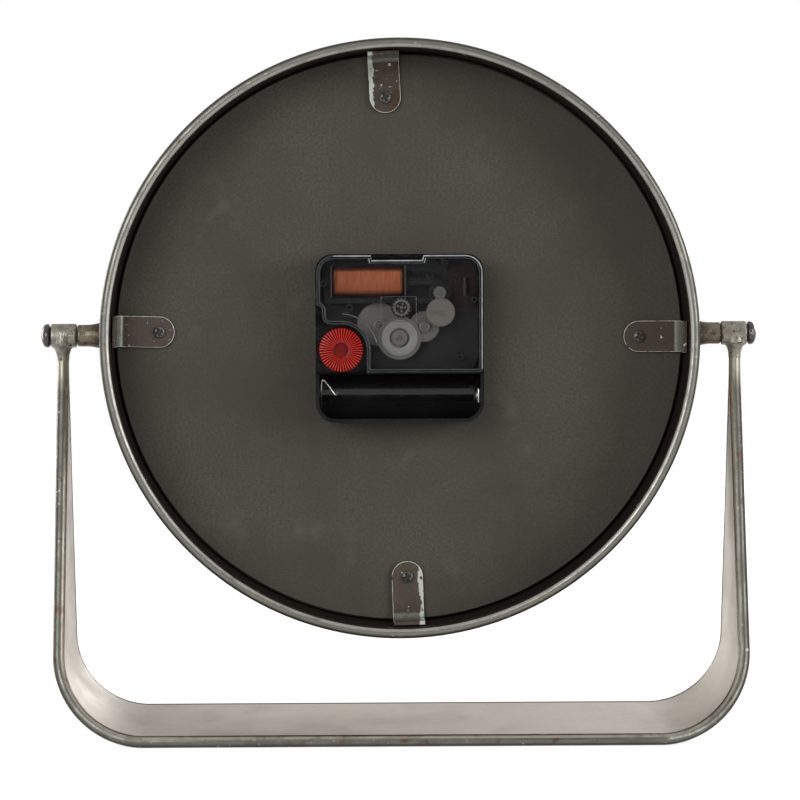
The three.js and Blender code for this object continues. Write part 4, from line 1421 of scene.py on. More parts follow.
@dataclass
class Case:
    """The round case: band, rims, glass, spacer and board."""

    steps: int = 192  # flats round the case
    rim_steps: int = 24  # flats round a rim's section
    wall: float = 1.0  # of the band
    lip: float = 3.0
    lip_soft: Flat = (0.2, 0.3)  # width and height of the lip's rounded edge
    seam: float = 0.25  # depth of the line where the rim's roll closes
    roll_end: float = 168.0  # angle at which the roll meets that line, in degrees
    spacer_wall: float = 1.2
    soft: float = 0.3  # width of the softened edges of glass and spacer
    board_soft: float = 0.1
    rim: Box = field(default_factory=lambda: Box.of("rear_rim"))
    band: Box = field(default_factory=lambda: Box.of("case_band"))

    def __post_init__(self) -> None:
        """Works out the case's middle and radii."""
        self.centre = Vector((0, 0, self.band.middle.z))
        self.outer = self.band.high.x
        self.inner = self.outer - self.wall
        self.roll = (self.rim.high.y - self.rim.low.y) / 2

    def ring(self, name: str, profile: Sequence[Flat]) -> Piece:
        """Spins a profile about the case's middle."""
        return placed(turned(name, profile, self.steps), self.centre)

    def band_piece(self) -> Piece:
        """Models the band, brown inside with paint and painted shade, with its lip in front.

        Returns:
            The band.
        """
        end = self.rim.low.y + self.roll / 2
        front = self.band.low.y
        lip_rear = front + self.wall
        lip_inner = self.inner - self.lip
        soft = lip_inner + self.lip_soft[0]
        profile = [(self.outer, -end), (self.outer, end), (self.inner, end), (self.inner, lip_rear)]
        profile += [(soft, lip_rear), (lip_inner, lip_rear - self.lip_soft[1]), (soft, front)]
        profile += [(self.inner, front), (self.inner, -end)]
        piece = self.ring("band", profile)
        for face in piece.data.polygons:
            outwards = Vector((face.center.x, 0, face.center.z - self.centre.z * MM))
            face.material_index = int(face.normal.dot(outwards.normalized()) < 0.5)
        return smooth(piece, 30)

    def rim_piece(self, name: str, side: int) -> Piece:
        """Models a rolled rim, round outside, with the seam where its edge tucks in.

        Args:
            name: Its name.
            side: 1 for the rear rim, -1 for the front one.

        Returns:
            The rim.
        """
        middle = (self.inner + self.roll, self.rim.high.y - self.roll)
        sweep = arc(middle, self.roll, -90, self.roll_end, self.rim_steps)
        tuck = (self.inner + self.seam, middle[1] + 0.1)
        profile = [(self.inner, self.rim.low.y), *sweep, tuck, (self.inner, middle[1] - 0.3)]
        if side < 0:
            profile = [(radius, -run) for radius, run in profile]
        piece = smooth(self.ring(name, profile), 45)

        def inward(place: Vector, normal: Vector) -> float:
            """How far the surface faces the case's axis."""
            axis = Vector((0, place.y, self.centre.z))
            return normal.dot((axis - place).normalized())

        return marked(piece, INWARD, inward)

    def disc(self, node: str, name: str, edge: float) -> Piece:
        """Models a flat disc with softened edges in place of a solid.

        Args:
            node: The solid it stands for.
            name: Its name.
            edge: Width of the softened edges.

        Returns:
            The disc.
        """
        solid = Box.of(node)
        radius = solid.high.x
        front, rear = solid.low.y, solid.high.y
        profile = [(0, front), (radius - edge, front), (radius, front + edge), (radius, rear - edge)]
        return smooth(self.ring(name, [*profile, (radius - edge, rear), (0, rear)]), 25)

    def build(self) -> None:
        """Models the case and dresses it."""
        settle(self.band_piece(), "case", [BAND_STEEL, WALL_PAINT_AND_SHADE], ["case_band"])
        for place, side in FACINGS.items():
            rim = self.rim_piece(f"rolled_rim_{place}", side)
            settle(rim, "case", [RIM_STEEL], [f"{place}_rim"])
        settle(self.disc("lens", "front_glass", self.soft), "case", [GLASS], ["lens"])
        board = self.disc("back_board", "board", self.board_soft)
        settle(board, "case", [CHARCOAL_BOARD], ["back_board"])
        spacer = Box.of("lens_spacer")
        outer, inner = spacer.high.x, spacer.high.x - self.spacer_wall
        section = rounded((inner, spacer.low.y), (outer, spacer.high.y), [self.soft] * 4, 3)
        ring = smooth(self.ring("glass_spacer", section), 30)
        settle(ring, "case", [SATIN_BLACK], ["lens_spacer"])
        dress(BRASS, "neck_nut", "neck_washer")


@dataclass
class Clips:
    """The four bent clips that hold the board, each with its screw."""

    width: float = 10.4
    wall: float = 1.2
    bend: float = 3.2  # radius of the bend, outside
    bend_steps: int = 10
    fold: float = 1.2  # how far up the leg the bend's dulled paint goes, in bends
    slack: float = 0.13  # how far the leg stays inside its solid
    edge: float = 0.55  # width of the rubbed edge
    end: float = 0.8  # depth of the leg's end, which is painted
    head: float = 2.05  # radius of a screw's head
    flank: float = 0.45  # height of the head's flank
    dome: tuple[float, ...] = (0, 0.25, 0.5, 0.8, 1.1)  # angles up the head's dome, in radians
    shank: float = 1.1
    cross: Flat = (2.8, 0.95)  # length and width of the cross recess
    cross_depth: float = 1.0
    cross_turn: float = 20.0  # degrees
    centre_height: float = 132.3
    home: str = "right"  # the clip that is modelled, and then copied
    places: tuple[str, ...] = ("right", "top", "left", "bottom")

    def clip(self) -> Piece:
        """Models a clip along +X: foot on the board, bend, and leg up the wall.

        Returns:
            The clip.
        """
        solid = Box.of(f"clip_{self.home}")
        across = math.hypot(solid.high.x, solid.middle.z - self.centre_height)
        outer = across - self.slack
        reach = abs(Box.of("clip_left").high.x)
        foot, leg = solid.low.y, solid.high.y
        fold = (outer - self.bend, foot + self.bend)
        section = [(reach, foot), *arc(fold, self.bend, -90, 0, self.bend_steps), (outer, leg)]
        section += [(outer - self.wall, leg), *arc(fold, self.bend - self.wall, 0, -90, self.bend_steps)]
        section.append((reach, foot + self.wall))
        low = -self.width / 2
        piece = outline("clip", [(x, y, low) for x, y in section], filled=True)
        with editing(piece):
            move = {"value": (0, 0, self.width * MM)}
            bpy.ops.mesh.extrude_region_move(TRANSFORM_OT_translate=move)
        closed(piece)
        end = reach + self.width / 2
        plan = [*arc((end, 0), self.width / 2, 90, 270, 24), (outer + 1, low), (outer + 1, -low)]
        combined(piece, "INTERSECT", plate("plan", plan, foot - 1, leg + 1))
        hole = rod("hole", self.shank + 0.2, (foot - 1, foot + 2 * self.wall), (end, 0), 24)
        combined(piece, "DIFFERENCE", hole)
        bevelled(piece, self.edge, 2, 40, edge_finish=1)
        for face in piece.data.polygons:
            if face.center.y / MM > leg - self.end:
                face.material_index = 0
        low_part = foot + self.fold * self.bend
        marked(piece, FOLD, lambda place, normal: (place.x - fold[0]) / 2 if place.y < low_part else 0)
        marked(piece, FROM_EDGE, lambda place, normal: place.z + self.width / 2)
        return smooth(piece, 50, flats=True)

    def screw(self) -> Piece:
        """Models a pan-head screw with a cross recess, in place on the clip.

        Returns:
            The screw.
        """
        solid = Box.of(f"clip_screw_{self.home}")
        at = solid.middle.x
        head = Box.of(f"clip_{self.home}").low.y + self.wall + FIT
        top = solid.high.y
        shoulder = head + self.flank
        rise = top - shoulder
        dome = [(self.head * math.cos(a), shoulder + rise * math.sin(a)) for a in self.dome]
        profile = [(0, solid.low.y), (self.shank, solid.low.y), (self.shank, head)]
        profile += [(self.head - 0.15, head), *dome, (self.head * 0.25, top - 0.02), (0, top)]
        piece = turned("screw", profile, 32)
        for _ in range(2):
            piece.data.materials.append(None)
        long, wide = self.cross[0] / 2, self.cross[1] / 2
        for x, z in ((long, wide), (wide, long)):
            slot = block("slot", (-x, top - self.cross_depth, -z), (x, top + 1, z))
            combined(piece, "DIFFERENCE", slot)
        # The cross recess gets the painted shade.
        for face in piece.data.polygons:
            place = face.center / MM
            across = math.hypot(place.x, place.z)
            face.material_index = int(across < long + 0.01 and place.y < shoulder + rise * 0.6)
        piece.data.transform(Matrix.Rotation(math.radians(self.cross_turn), 4, "Y"))
        placed(piece, (at, 0, 0))
        return smooth(bevelled(piece, 0.06, 1, 50), 35)

    def build(self) -> None:
        """Copies the clip and its screw to the four places and dresses them."""
        clip, screw = self.clip(), self.screw()
        up = Matrix.Translation((0, 0, self.centre_height * MM))
        for place in self.places:
            middle = Box.of(f"clip_screw_{place}").middle
            angle = math.atan2(middle.z - self.centre_height, middle.x)
            move = up @ Matrix.Rotation(-angle, 4, "Y")
            piece = copied(clip, f"bent_clip_{place}", move)
            paint = PEELED_PAINT if place in ("top", "bottom") else CLIP_PAINT
            settle(piece, "case", [paint, CLIP_EDGE], [f"clip_{place}"])
            piece = copied(screw, f"cross_screw_{place}", move)
            settle(piece, "case", [BLACK_OXIDE_PAINTED_SHEEN, RECESS_PAINTED_SHADE], [f"clip_screw_{place}"])
        bpy.data.objects.remove(clip)
        bpy.data.objects.remove(screw)


# ---- movement


@dataclass
class Movement:
    """The quartz movement on the board: housing, smoky cover, knob, coil and contacts."""

    corner_top: float = 5.7
    corner_low: float = 6.6
    wall: float = 1.5
    cavity: tuple[float, ...] = (2.0, 4.2, 4.2, 2.0)  # radii of its corners
    bay_height: float = 15.0
    bay_wall: float = 1.2
    cell: float = 7.45  # radius of the battery's trough
    neck: Flat = (2.75, 3.9)  # radii of the threaded neck's bore and outside
    knob_recess: float = 8.6
    knob_floor: float = 11.5
    knob_hub: float = 0.33  # share of the knob's radius
    pip: float = 0.7  # radius of the pip in the knob's hub
    turret: float = 1.0  # wall round the knob's recess
    cover_inset: float = 0.4
    curl: Flat = (3.6, 2.6)  # place past the knob and radius of the curl in the cover's edge
    shoulder: tuple[Flat, ...] = ((6.3, 5.0), (6.9, 5.9))  # from the knob and the recess's top
    shoulder_rise: float = 6.3
    notch: Point = (-8.0, 9.4, 1.6)  # from, to and depth of the cover's step
    ridge: Flat = (12.0, 0.22)  # radius round the knob and half width of the cover's inner ridge
    bearing: Flat = (1.5, 0.2)  # the same of its bearing rings
    border: float = 0.1  # half width of the window's border
    window: tuple[Flat, Flat] = ((-5.5, 5.5), (6.2, 13.8))  # its low and its high corner
    window_depth: float = 0.3
    post: Point = (0.45, 1.0, 1.2)  # radii of a plate post's bore, tip and outside
    posts_at: tuple[Flat, ...] = (
        (-15.0, 25.0), (-10.3, 20.7), (16.8, 10.2), (25.2, 18.2), (-24.8, 12.7), (-20.0, -6.5)
    )
    contact: float = 0.22  # radius of the spring wire
    seconds_rear: float = 11.4  # rear face of the seconds wheel
    boss: Point = (3.3, 6.0, 0.9)  # bore, radius and height of the ring on that wheel
    hub: Point = (0.55, 2.5, 1.6)  # the same of its hub
    rim: float = 0.45  # width of the cover's raised rim
    rim_height: float = 0.4
    slopes: Flat = (0.38, 0.3)  # widths of the rim's outer and inner slopes, which carry painted highlights
    flutes: int = 44
    coil_spread: float = 0.7  # how much longer the winding is at each end than its solid
    flange: float = 0.4  # wall of the bobbin's flanges
    core: Flat = (0.8, 1.5)  # half the bobbin's bore along Y and Z
    tube: Flat = (1.3, 2.0)  # half the bobbin's tube
    sleeve: Flat = (1.6, 2.3)  # half the winding's bore
    star_at: Flat = (-0.6, 10.2)  # of the toothed star behind the window
    star_reach: Flat = (3.2, 2.5)  # radii of its teeth's tips and roots
    star_teeth: int = 16
    studs: tuple[float, ...] = (0.4, 1.9, 3.1, 4.7)  # angles of the star's studs, pale dots that are painted glints, in radians
    stud: Flat = (1.25, 0.35)  # their distance from its middle, and their radius
    box: Box = field(default_factory=lambda: Box.of("movement_case"))
    cover_box: Box = field(default_factory=lambda: Box.of("movement_cover"))
    knob_box: Box = field(default_factory=lambda: Box.of("setting_knob"))

    def __post_init__(self) -> None:
        """Works out the movement's middle, its bay and its knob's axis."""
        self.half = self.box.high.x
        self.centre = self.box.middle.z
        self.rear = self.box.high.y
        self.bay_low = self.box.low.z + self.bay_wall
        self.bay_top = self.bay_low + self.bay_height
        self.knob = (self.knob_box.middle.x, self.knob_box.middle.z)

    def recess(self, grown: float, low: float, reach: float) -> list[Flat]:
        """Outline of the knob's recess, open to the movement's side.

        Args:
            grown: Width of the wall.
            low: Its low edge.
            reach: How far it runs to the side.

        Returns:
            The points of the outline.
        """
        radius = self.knob_recess + grown
        x, z = self.knob
        return [(reach, z + radius), *arc((x, z), radius, 90, 180, 16), (x - radius, low), (reach, low)]

    def housing(self) -> Piece:
        """Models the black housing with its cavity, trough and knob recess.

        Returns:
            The housing.
        """
        radii = [self.corner_low, self.corner_top, self.corner_top, self.corner_low]
        outer = rounded((-self.half, self.box.low.z), (self.half, self.box.high.z), radii)
        floor = FIT + self.wall
        piece = plate("movement_housing", outer, FIT, self.rear)
        past = self.rear + 1
        inside = self.half - self.wall
        cavity_low = self.bay_top + self.bay_wall
        cavity = rounded((-inside, cavity_low), (inside, self.box.high.z - self.wall), self.cavity)
        seat = self.cover_box.low.y - FIT
        combined(piece, "DIFFERENCE", plate("cavity", cavity, floor, past))
        low, high = (-self.half - 1, seat, self.bay_top), (self.half + 1, past, self.box.high.z + 1)
        combined(piece, "DIFFERENCE", block("seat", low, high))
        wall = self.recess(self.turret, self.bay_top + 0.6, self.half - 0.7)
        combined(piece, "UNION", plate("turret", wall, self.knob_floor - self.turret, seat))
        well = plate("well", self.recess(0, self.bay_top + 0.02, self.half + 1), self.knob_floor, past)
        combined(piece, "DIFFERENCE", well)
        inner, outer = self.neck
        neck = rod("neck", outer, (self.box.low.y, FIT + self.wall / 2), (0, self.centre))
        combined(piece, "UNION", neck)
        bore = rod("bore", inner, (self.box.low.y - 1, FIT + 2 * self.wall), (0, self.centre))
        combined(piece, "DIFFERENCE", bore)
        # The bay comes last: cuts made after its very short edges vary from run to run.
        end = self.half - self.bay_wall
        axis_y = floor + self.cell
        axis_z = self.bay_low + self.bay_height / 2
        trough = rod("trough", self.cell, (-end, end), sides=64)
        placed(trough, (0, axis_y, axis_z), Turn.RIGHT)
        low_radius = self.corner_low - self.bay_wall
        radii = [low_radius, 0.2, 0.2, low_radius]
        bay = rounded((-end, axis_z - self.cell), (end, axis_z + self.cell), radii)
        combined(trough, "INTERSECT", plate("bay", bay, FIT, past))
        combined(piece, "DIFFERENCE", trough)
        combined(piece, "DIFFERENCE", plate("slot", bay, axis_y, past))
        return smooth(bevelled(closed(piece), 0.3, 2, 40), 50, flats=True)

    def cover_outline(self) -> list[Flat]:
        """Outline of the clear cover, with its curl beside the knob and its step at the top.

        Returns:
            The points of the outline.
        """
        edge = self.half - self.cover_inset
        low, top = self.cover_box.low.z, self.cover_box.high.z
        x, z = self.knob
        radius = self.knob_recess
        over = z + radius
        corner = self.corner_top
        left, right, depth = self.notch
        past, curl = self.curl
        points = [(x - radius, low), *arc((x, z), radius, 180, 90, 16), (x + past, over)]
        points += arc((x + past, over + curl), curl, -80, -5, 6)
        points += [(x + out, over + up) for out, up in self.shoulder]
        points.append((edge, over + self.shoulder_rise))
        points += arc((edge - corner, top - corner), corner, 0, 90, 8)
        points += [(right, top), (right - 0.3, top - depth), (left + 0.5, top - depth), (left, top)]
        points += arc((corner - edge, top - corner), corner, 90, 180, 8)
        points += arc((1.2 - edge, low + 1.2), 1.2, 180, 270, 4)
        return points

    def lit(self, face: bpy.types.MeshPolygon) -> bool:
        """Finds the faces that get the painted highlight.

        Args:
            face: A face of the cover.

        Returns:
            Whether it is an outer slope along the cover's top or its far side.
        """
        place = face.center / MM
        outward = Vector((place.x, 0, place.z - self.centre))
        far = place.x < self.cover_box.low.x + 2 and place.z > self.cover_box.low.z + 2
        top = place.z > self.cover_box.high.z - 2.2 and place.x < self.cover_box.high.x - self.corner_top
        return face.normal.dot(outward) > 0 and (far or top)

    def cover(self) -> Piece:
        """Models the smoky cover with its raised rim, ridge, window and bearing rings.

        Returns:
            The cover.
        """
        front, rear = self.cover_box.low.y, self.cover_box.high.y
        piece = plate("smoky_cover", self.cover_outline(), front, rear - self.rim_height)
        for finish in (SMOKY_CLEAR, PAINTED_HIGHLIGHT_EDGE, FAINT_PAINTED_HIGHLIGHT):
            piece.data.materials.append(finish.material())
        with editing(piece):
            bpy.ops.mesh.select_mode(type="FACE")
            bpy.ops.mesh.select_all(action="DESELECT")
            mesh = bmesh.from_edit_mesh(piece.data)
            for face in mesh.faces:
                face.select_set(face.normal.y > 0.9)
            bmesh.update_edit_mesh(piece.data)
            for width, rise in ((self.slopes[0], 1), (self.rim, 0), (self.slopes[1], -1)):
                step = {"thickness": width * MM, "depth": rise * self.rim_height * MM}
                bpy.ops.mesh.inset(**step, use_even_offset=True)
        # Outer slopes along the top and far side get the painted highlight, the other slopes the fainter
        # one.
        for face in piece.data.polygons:
            if 0.2 < face.normal.y < 0.95:
                face.material_index = 1 if self.lit(face) else 2
        sunk = rear - self.rim_height
        (x0, z0), (x1, z1) = self.window
        z0, z1 = self.centre + z0, self.centre + z1
        hollow = block("hollow", (x0, sunk - self.window_depth, z0), (x1, rear + 1, z1))
        combined(piece, "DIFFERENCE", hollow)
        bevelled(piece, 0.08, 2, 30)
        radius, wire = self.bearing
        corners = rounded((x0, z0), (x1, z1), [0.2] * 4, 2)
        lines = [("ridge", arc(self.knob, self.ridge[0], 168, 92, 20), self.ridge[1], 3)]
        lines.append(("border", [*corners, corners[0]], self.border, 2))
        for wheel in ("third_wheel", "step_wheel", "rotor"):
            middle = Box.of(wheel).middle
            lines.append(("bearing", arc((middle.x, middle.z), radius, 0, 360, 24), wire, 3))
        # The ridge, the window's border and the bearing rings get the fainter painted highlight.
        ridges = []
        for name, line, half, fineness in lines:
            ridges.append(swept(name, [(x, sunk, z) for x, z in line], half, fineness))
            ridges[-1].data.materials.append(FAINT_PAINTED_HIGHLIGHT.material())
        return smooth(assembled("smoky_cover", [piece, *ridges]), 50, flats=True)

    def fluted_knob(self) -> Piece:
        """Models the red knob: radial flutes down a shallow cone to a sunk hub.

        Returns:
            The knob.
        """
        base, top = self.knob_box.low.y, self.knob_box.high.y
        radius = (self.knob_box.high.x - self.knob_box.low.x) / 2
        hub = radius * self.knob_hub
        section = (0, 0, 0, 0.6, 1, 0.6)  # across one flute, from ridge to valley
        count = self.flutes * len(section)
        # Radius, height and depth of the flutes, from the base up the side and in to the hub's floor.
        rings = [(radius - 0.1, base, 0), (radius, base + 0.25, 0.2), (radius, top - 1.0, 0.25)]
        rings += [(radius - 0.3, top - 0.35, 0.6), (radius * 0.72, top - 0.15, 0.55)]
        rings += [(hub + 0.4, top, 0.45), (hub, top - 0.1, 0), (hub - 0.15, top - 0.8, 0)]
        ring = bpy.ops.mesh.primitive_circle_add
        piece = added("fluted_knob", ring, vertices=count, radius=1, fill_type="NGON")
        with editing(piece):
            for _ in rings[1:]:
                bpy.ops.mesh.extrude_region_move(TRANSFORM_OT_translate={"value": (0, 0, MM)})
        hollow = piece.data.attributes.new(HOLLOW_SHADE, "FLOAT", "POINT")
        for index, (vertex, entry) in enumerate(zip(piece.data.vertices, hollow.data)):
            level, step = divmod(index, count)
            reach, height, cut = rings[level]
            valley = section[step % len(section)]
            reach -= cut * valley if level < 4 else 0
            height -= cut * valley if level > 2 else 0
            angle = step * 2 * math.pi / count
            vertex.co = Vector((reach * math.cos(angle), height, reach * math.sin(angle))) * MM
            # Painted shade down each flute and over the hub.
            entry.value = 0.8 if level > 5 else valley
        closed(piece)
        for finish in (KNOB_RED, KNOB_HUB):
            piece.data.materials.append(finish.material())
        for face in piece.data.polygons:
            face.material_index = int(math.hypot(face.center.x, face.center.z) < hub * MM)
        placed(piece, (self.knob[0], 0, self.knob[1]))
        pip = rod("pip", self.pip, (top - 1.6, top - 0.7), self.knob, 20)
        pip.data.materials.append(KNOB_HUB.material())
        return smooth(assembled("fluted_knob", [piece, bevelled(pip, 0.15, 2)]), 40)

    def winding(self) -> Piece:
        """Models the coil's winding: a sleeve with soft corners that swells a little.

        Returns:
            The winding.
        """
        solid = Box.of("coil_winding")
        out = Vector((self.coil_spread, 0, 0))
        piece = block("copper_winding", solid.low - out, solid.high + out)
        with editing(piece):
            bpy.ops.mesh.subdivide(number_cuts=1)
        bevelled(piece, 2.0, 6, 50)
        middle = solid.middle * MM
        for vertex in piece.data.vertices:
            share = abs(vertex.co.x - middle.x) / ((solid.high.x - solid.low.x) / 2 * MM)
            shrink = 1 - 0.035 * share**4
            vertex.co.y = middle.y + (vertex.co.y - middle.y) * shrink
            vertex.co.z = middle.z + (vertex.co.z - middle.z) * shrink
        bore = self.along("bore", (solid.low.x - 5, solid.high.x + 5), self.sleeve)
        return smooth(combined(piece, "DIFFERENCE", bore), 40)

    def along(self, name: str, ends: Flat, half: Flat) -> Piece:
        """Makes a bar along X on the coil's axis.

        Args:
            name: Its name.
            ends: Where it starts and ends along X.
            half: Half its size along Y and Z.

        Returns:
            The bar.
        """
        middle = Box.of("coil_bobbin").middle
        low = (ends[0], middle.y - half[0], middle.z - half[1])
        return block(name, low, (ends[1], middle.y + half[0], middle.z + half[1]))

    def bobbin(self) -> Piece:
        """Models the coil's bobbin: a square tube with a thin flange at each end.

        Returns:
            The bobbin.
        """
        solid = Box.of("coil_bobbin")
        low, high = solid.low.x, solid.high.x
        face = ((solid.high.y - solid.low.y) / 2, (solid.high.z - solid.low.z) / 2)
        ends = ((low, low + self.flange), (high - self.flange, high))
        flanges = [self.along("flange", end, face) for end in ends]
        tube = self.along("thin_flanged_bobbin", (low + 0.1, high - 0.1), self.tube)
        combined(tube, "UNION", *flanges)
        combined(tube, "DIFFERENCE", self.along("bore", (low - 1, high + 1), self.core))
        return smooth(bevelled(tube, 0.08, 2, 40), 50, flats=True)

    def leaf(self) -> Piece:
        """Models the positive contact: a leaf with a pressed nub.

        Returns:
            The contact.
        """
        solid = Box.of("contact_positive")
        piece = bevelled(block("contact_leaf", solid.low, solid.high), 0.12, 2)
        nub = turned("nub", [(0, -0.2), (1.5, -0.2), (1.2, 0.4), (0.7, 0.75), (0, 0.85)], 24)
        placed(nub, (solid.high.x, solid.middle.y, solid.middle.z), Turn.RIGHT)
        return smooth(combined(piece, "UNION", nub), 35)

    def hook(self) -> Piece:
        """Models the negative contact: a sprung wire with a hook at its end.

        Returns:
            The contact.
        """
        solid = Box.of("contact_negative")
        size = solid.high - solid.low
        radius = self.contact
        # The wire's places, as shares of its solid's size.
        shares = [(0.98, 0.0, 0.05), (0.98, 0.5, 0.05), (0.98, 0.78, 0.12), (0.97, 0.9, 0.5)]
        shares += [(0.93, 0.97, 0.9), (0.8, 0.98, 0.94), (0.5, 0.98, 0.6), (0.22, 0.98, 0.25)]
        shares += [(0.14, 0.95, 0.16), (0.06, 0.9, 0.2), (0.0, 0.85, 0.3)]
        points = []
        for x, y, z in shares:
            across, up = radius + x * (size.x - 2 * radius), radius + z * (size.z - 2 * radius)
            points.append(tuple(solid.low + Vector((across, y * (size.y - radius), up))))
        return smooth(swept("contact_wire", points, radius, 3), 60)

    def posts(self) -> Piece:
        """Models the plate's dark posts, which show as rings through the cover.

        Returns:
            The posts.
        """
        foot = Box.of("train_plate").high.y
        rear = self.cover_box.low.y - FIT
        bore, tip, outer = self.post
        tube = [(bore, foot), (outer, foot), (outer, rear - 0.2), (tip, rear)]
        tube += [(0.6, rear), (bore, rear - 0.2)]
        post = turned("post", tube, 20)
        places = [Vector((x, 0, self.centre + z)) * MM for x, z in self.posts_at]
        made = [copied(post, "post", Matrix.Translation(place)) for place in places]
        bpy.data.objects.remove(post)
        return smooth(assembled("plate_posts", made), 40)

    def star(self) -> Piece:
        """Models the toothed star on its post, which shows in the cover's window.

        Returns:
            The star.
        """
        x, up = self.star_at
        tip, root = self.star_reach
        front, rear = self.cover_box.low.y - 1.2, self.cover_box.low.y - 0.8
        back = bevelled(rod("window_star", tip + 0.2, (front - 0.8, front - 0.2), sides=40), 0.1, 1)
        reaches = self.star_reach * self.star_teeth
        angles = [math.pi * step / self.star_teeth for step in range(2 * self.star_teeth)]
        points = [(reach * math.cos(a), reach * math.sin(a)) for reach, a in zip(reaches, angles)]
        star = bevelled(plate("star", points, front, rear), 0.12, 1, 50)
        hub = bevelled(rod("hub", root - 0.5, (front - 0.1, rear + 0.2), sides=32), 0.1, 1)
        post = rod("post", 0.5, (Box.of("train_plate").high.y, rear + 0.4), sides=20)
        # Pale studs on the dark hub, as painted glints.
        out, radius = self.stud
        places = [(out * math.cos(turn), out * math.sin(turn)) for turn in self.studs]
        studs = [rod("stud", radius, (rear, rear + radius), place, 12) for place in places]
        parts = [(back, SATIN_PLATE), (star, PALE_PRESSING_AND_GLINTS), (hub, SATIN_PLATE), (post, PALE_PRESSING_AND_GLINTS)]
        parts += [(stud, PALE_PRESSING_AND_GLINTS) for stud in studs]
        for part, finish in parts:
            part.data.materials.append(finish.material())
        piece = assembled("window_star", [part for part, _ in parts])
        return smooth(placed(piece, (x, 0, self.centre + up)), 35)

    def wheel_ring(self, name: str, sizes: Point) -> Piece:
        """Models a raised ring on the rear face of the seconds wheel.

        Args:
            name: Its name.
            sizes: Its bore, its radius and how far it stands up.

        Returns:
            The ring.
        """
        inner, outer, height = sizes
        foot, top = self.seconds_rear, self.seconds_rear + height
        section = [(inner, foot), (outer, foot), (outer, top - 0.12), (outer - 0.15, top)]
        section += [(inner + 0.15, top), (inner, top - 0.12)]
        middle = Box.of("seconds_wheel").middle
        return smooth(placed(turned(name, section, 56), (middle.x, 0, middle.z)), 40)

    def build(self) -> None:
        """Models the movement and dresses it."""
        settle(self.housing(), "case", [GLOSSY_BLACK], ["movement_case"])
        smoky = [SMOKY_CLEAR, PAINTED_HIGHLIGHT_EDGE, FAINT_PAINTED_HIGHLIGHT]
        settle(self.cover(), "case", smoky, ["movement_cover"])
        settle(self.posts(), "case", [SATIN_PLATE])
        settle(self.star(), "case", [SATIN_PLATE, PALE_PRESSING_AND_GLINTS])
        settle(self.fluted_knob(), "setting", [KNOB_RED, KNOB_HUB], ["setting_knob"])
        settle(self.winding(), "case", [COPPER_WIRE], ["coil_winding"])
        settle(self.leaf(), "case", [NICKEL], ["contact_positive"])
        settle(self.hook(), "case", [NICKEL], ["contact_negative"])
        dress(SATIN_PLATE, "train_plate")
        wheels = ("cannon_pinion", "minute_work_wheel", "hour_wheel", "setting_wheel", "centre_wheel")
        dress(MILKY_NYLON, *wheels, "third_wheel", "seconds_wheel", "step_wheel", "first_wheel", "rotor")
        settle(self.bobbin(), "case", [BOBBIN_AMBER], ["coil_bobbin"])
        dress(OILED_STEEL, "stator")
        dress(TARNISHED_TIN, "quartz_can")
        dress(LAMINATE, "circuit_board")
        settle(self.wheel_ring("seconds_wheel_boss", self.boss), "seconds", [PALE_NYLON])
        settle(self.wheel_ring("seconds_wheel_hub", self.hub), "seconds", [MILKY_NYLON])


# ---- face


@dataclass(frozen=True)
class Hand:
    """One hand: its solid, name and body, the radius of its hub and the right half of its blade."""

    node: str
    name: str
    body: str
    hub: float
    blade: tuple[Flat, ...]  # half width and height of each point, from tail to tip


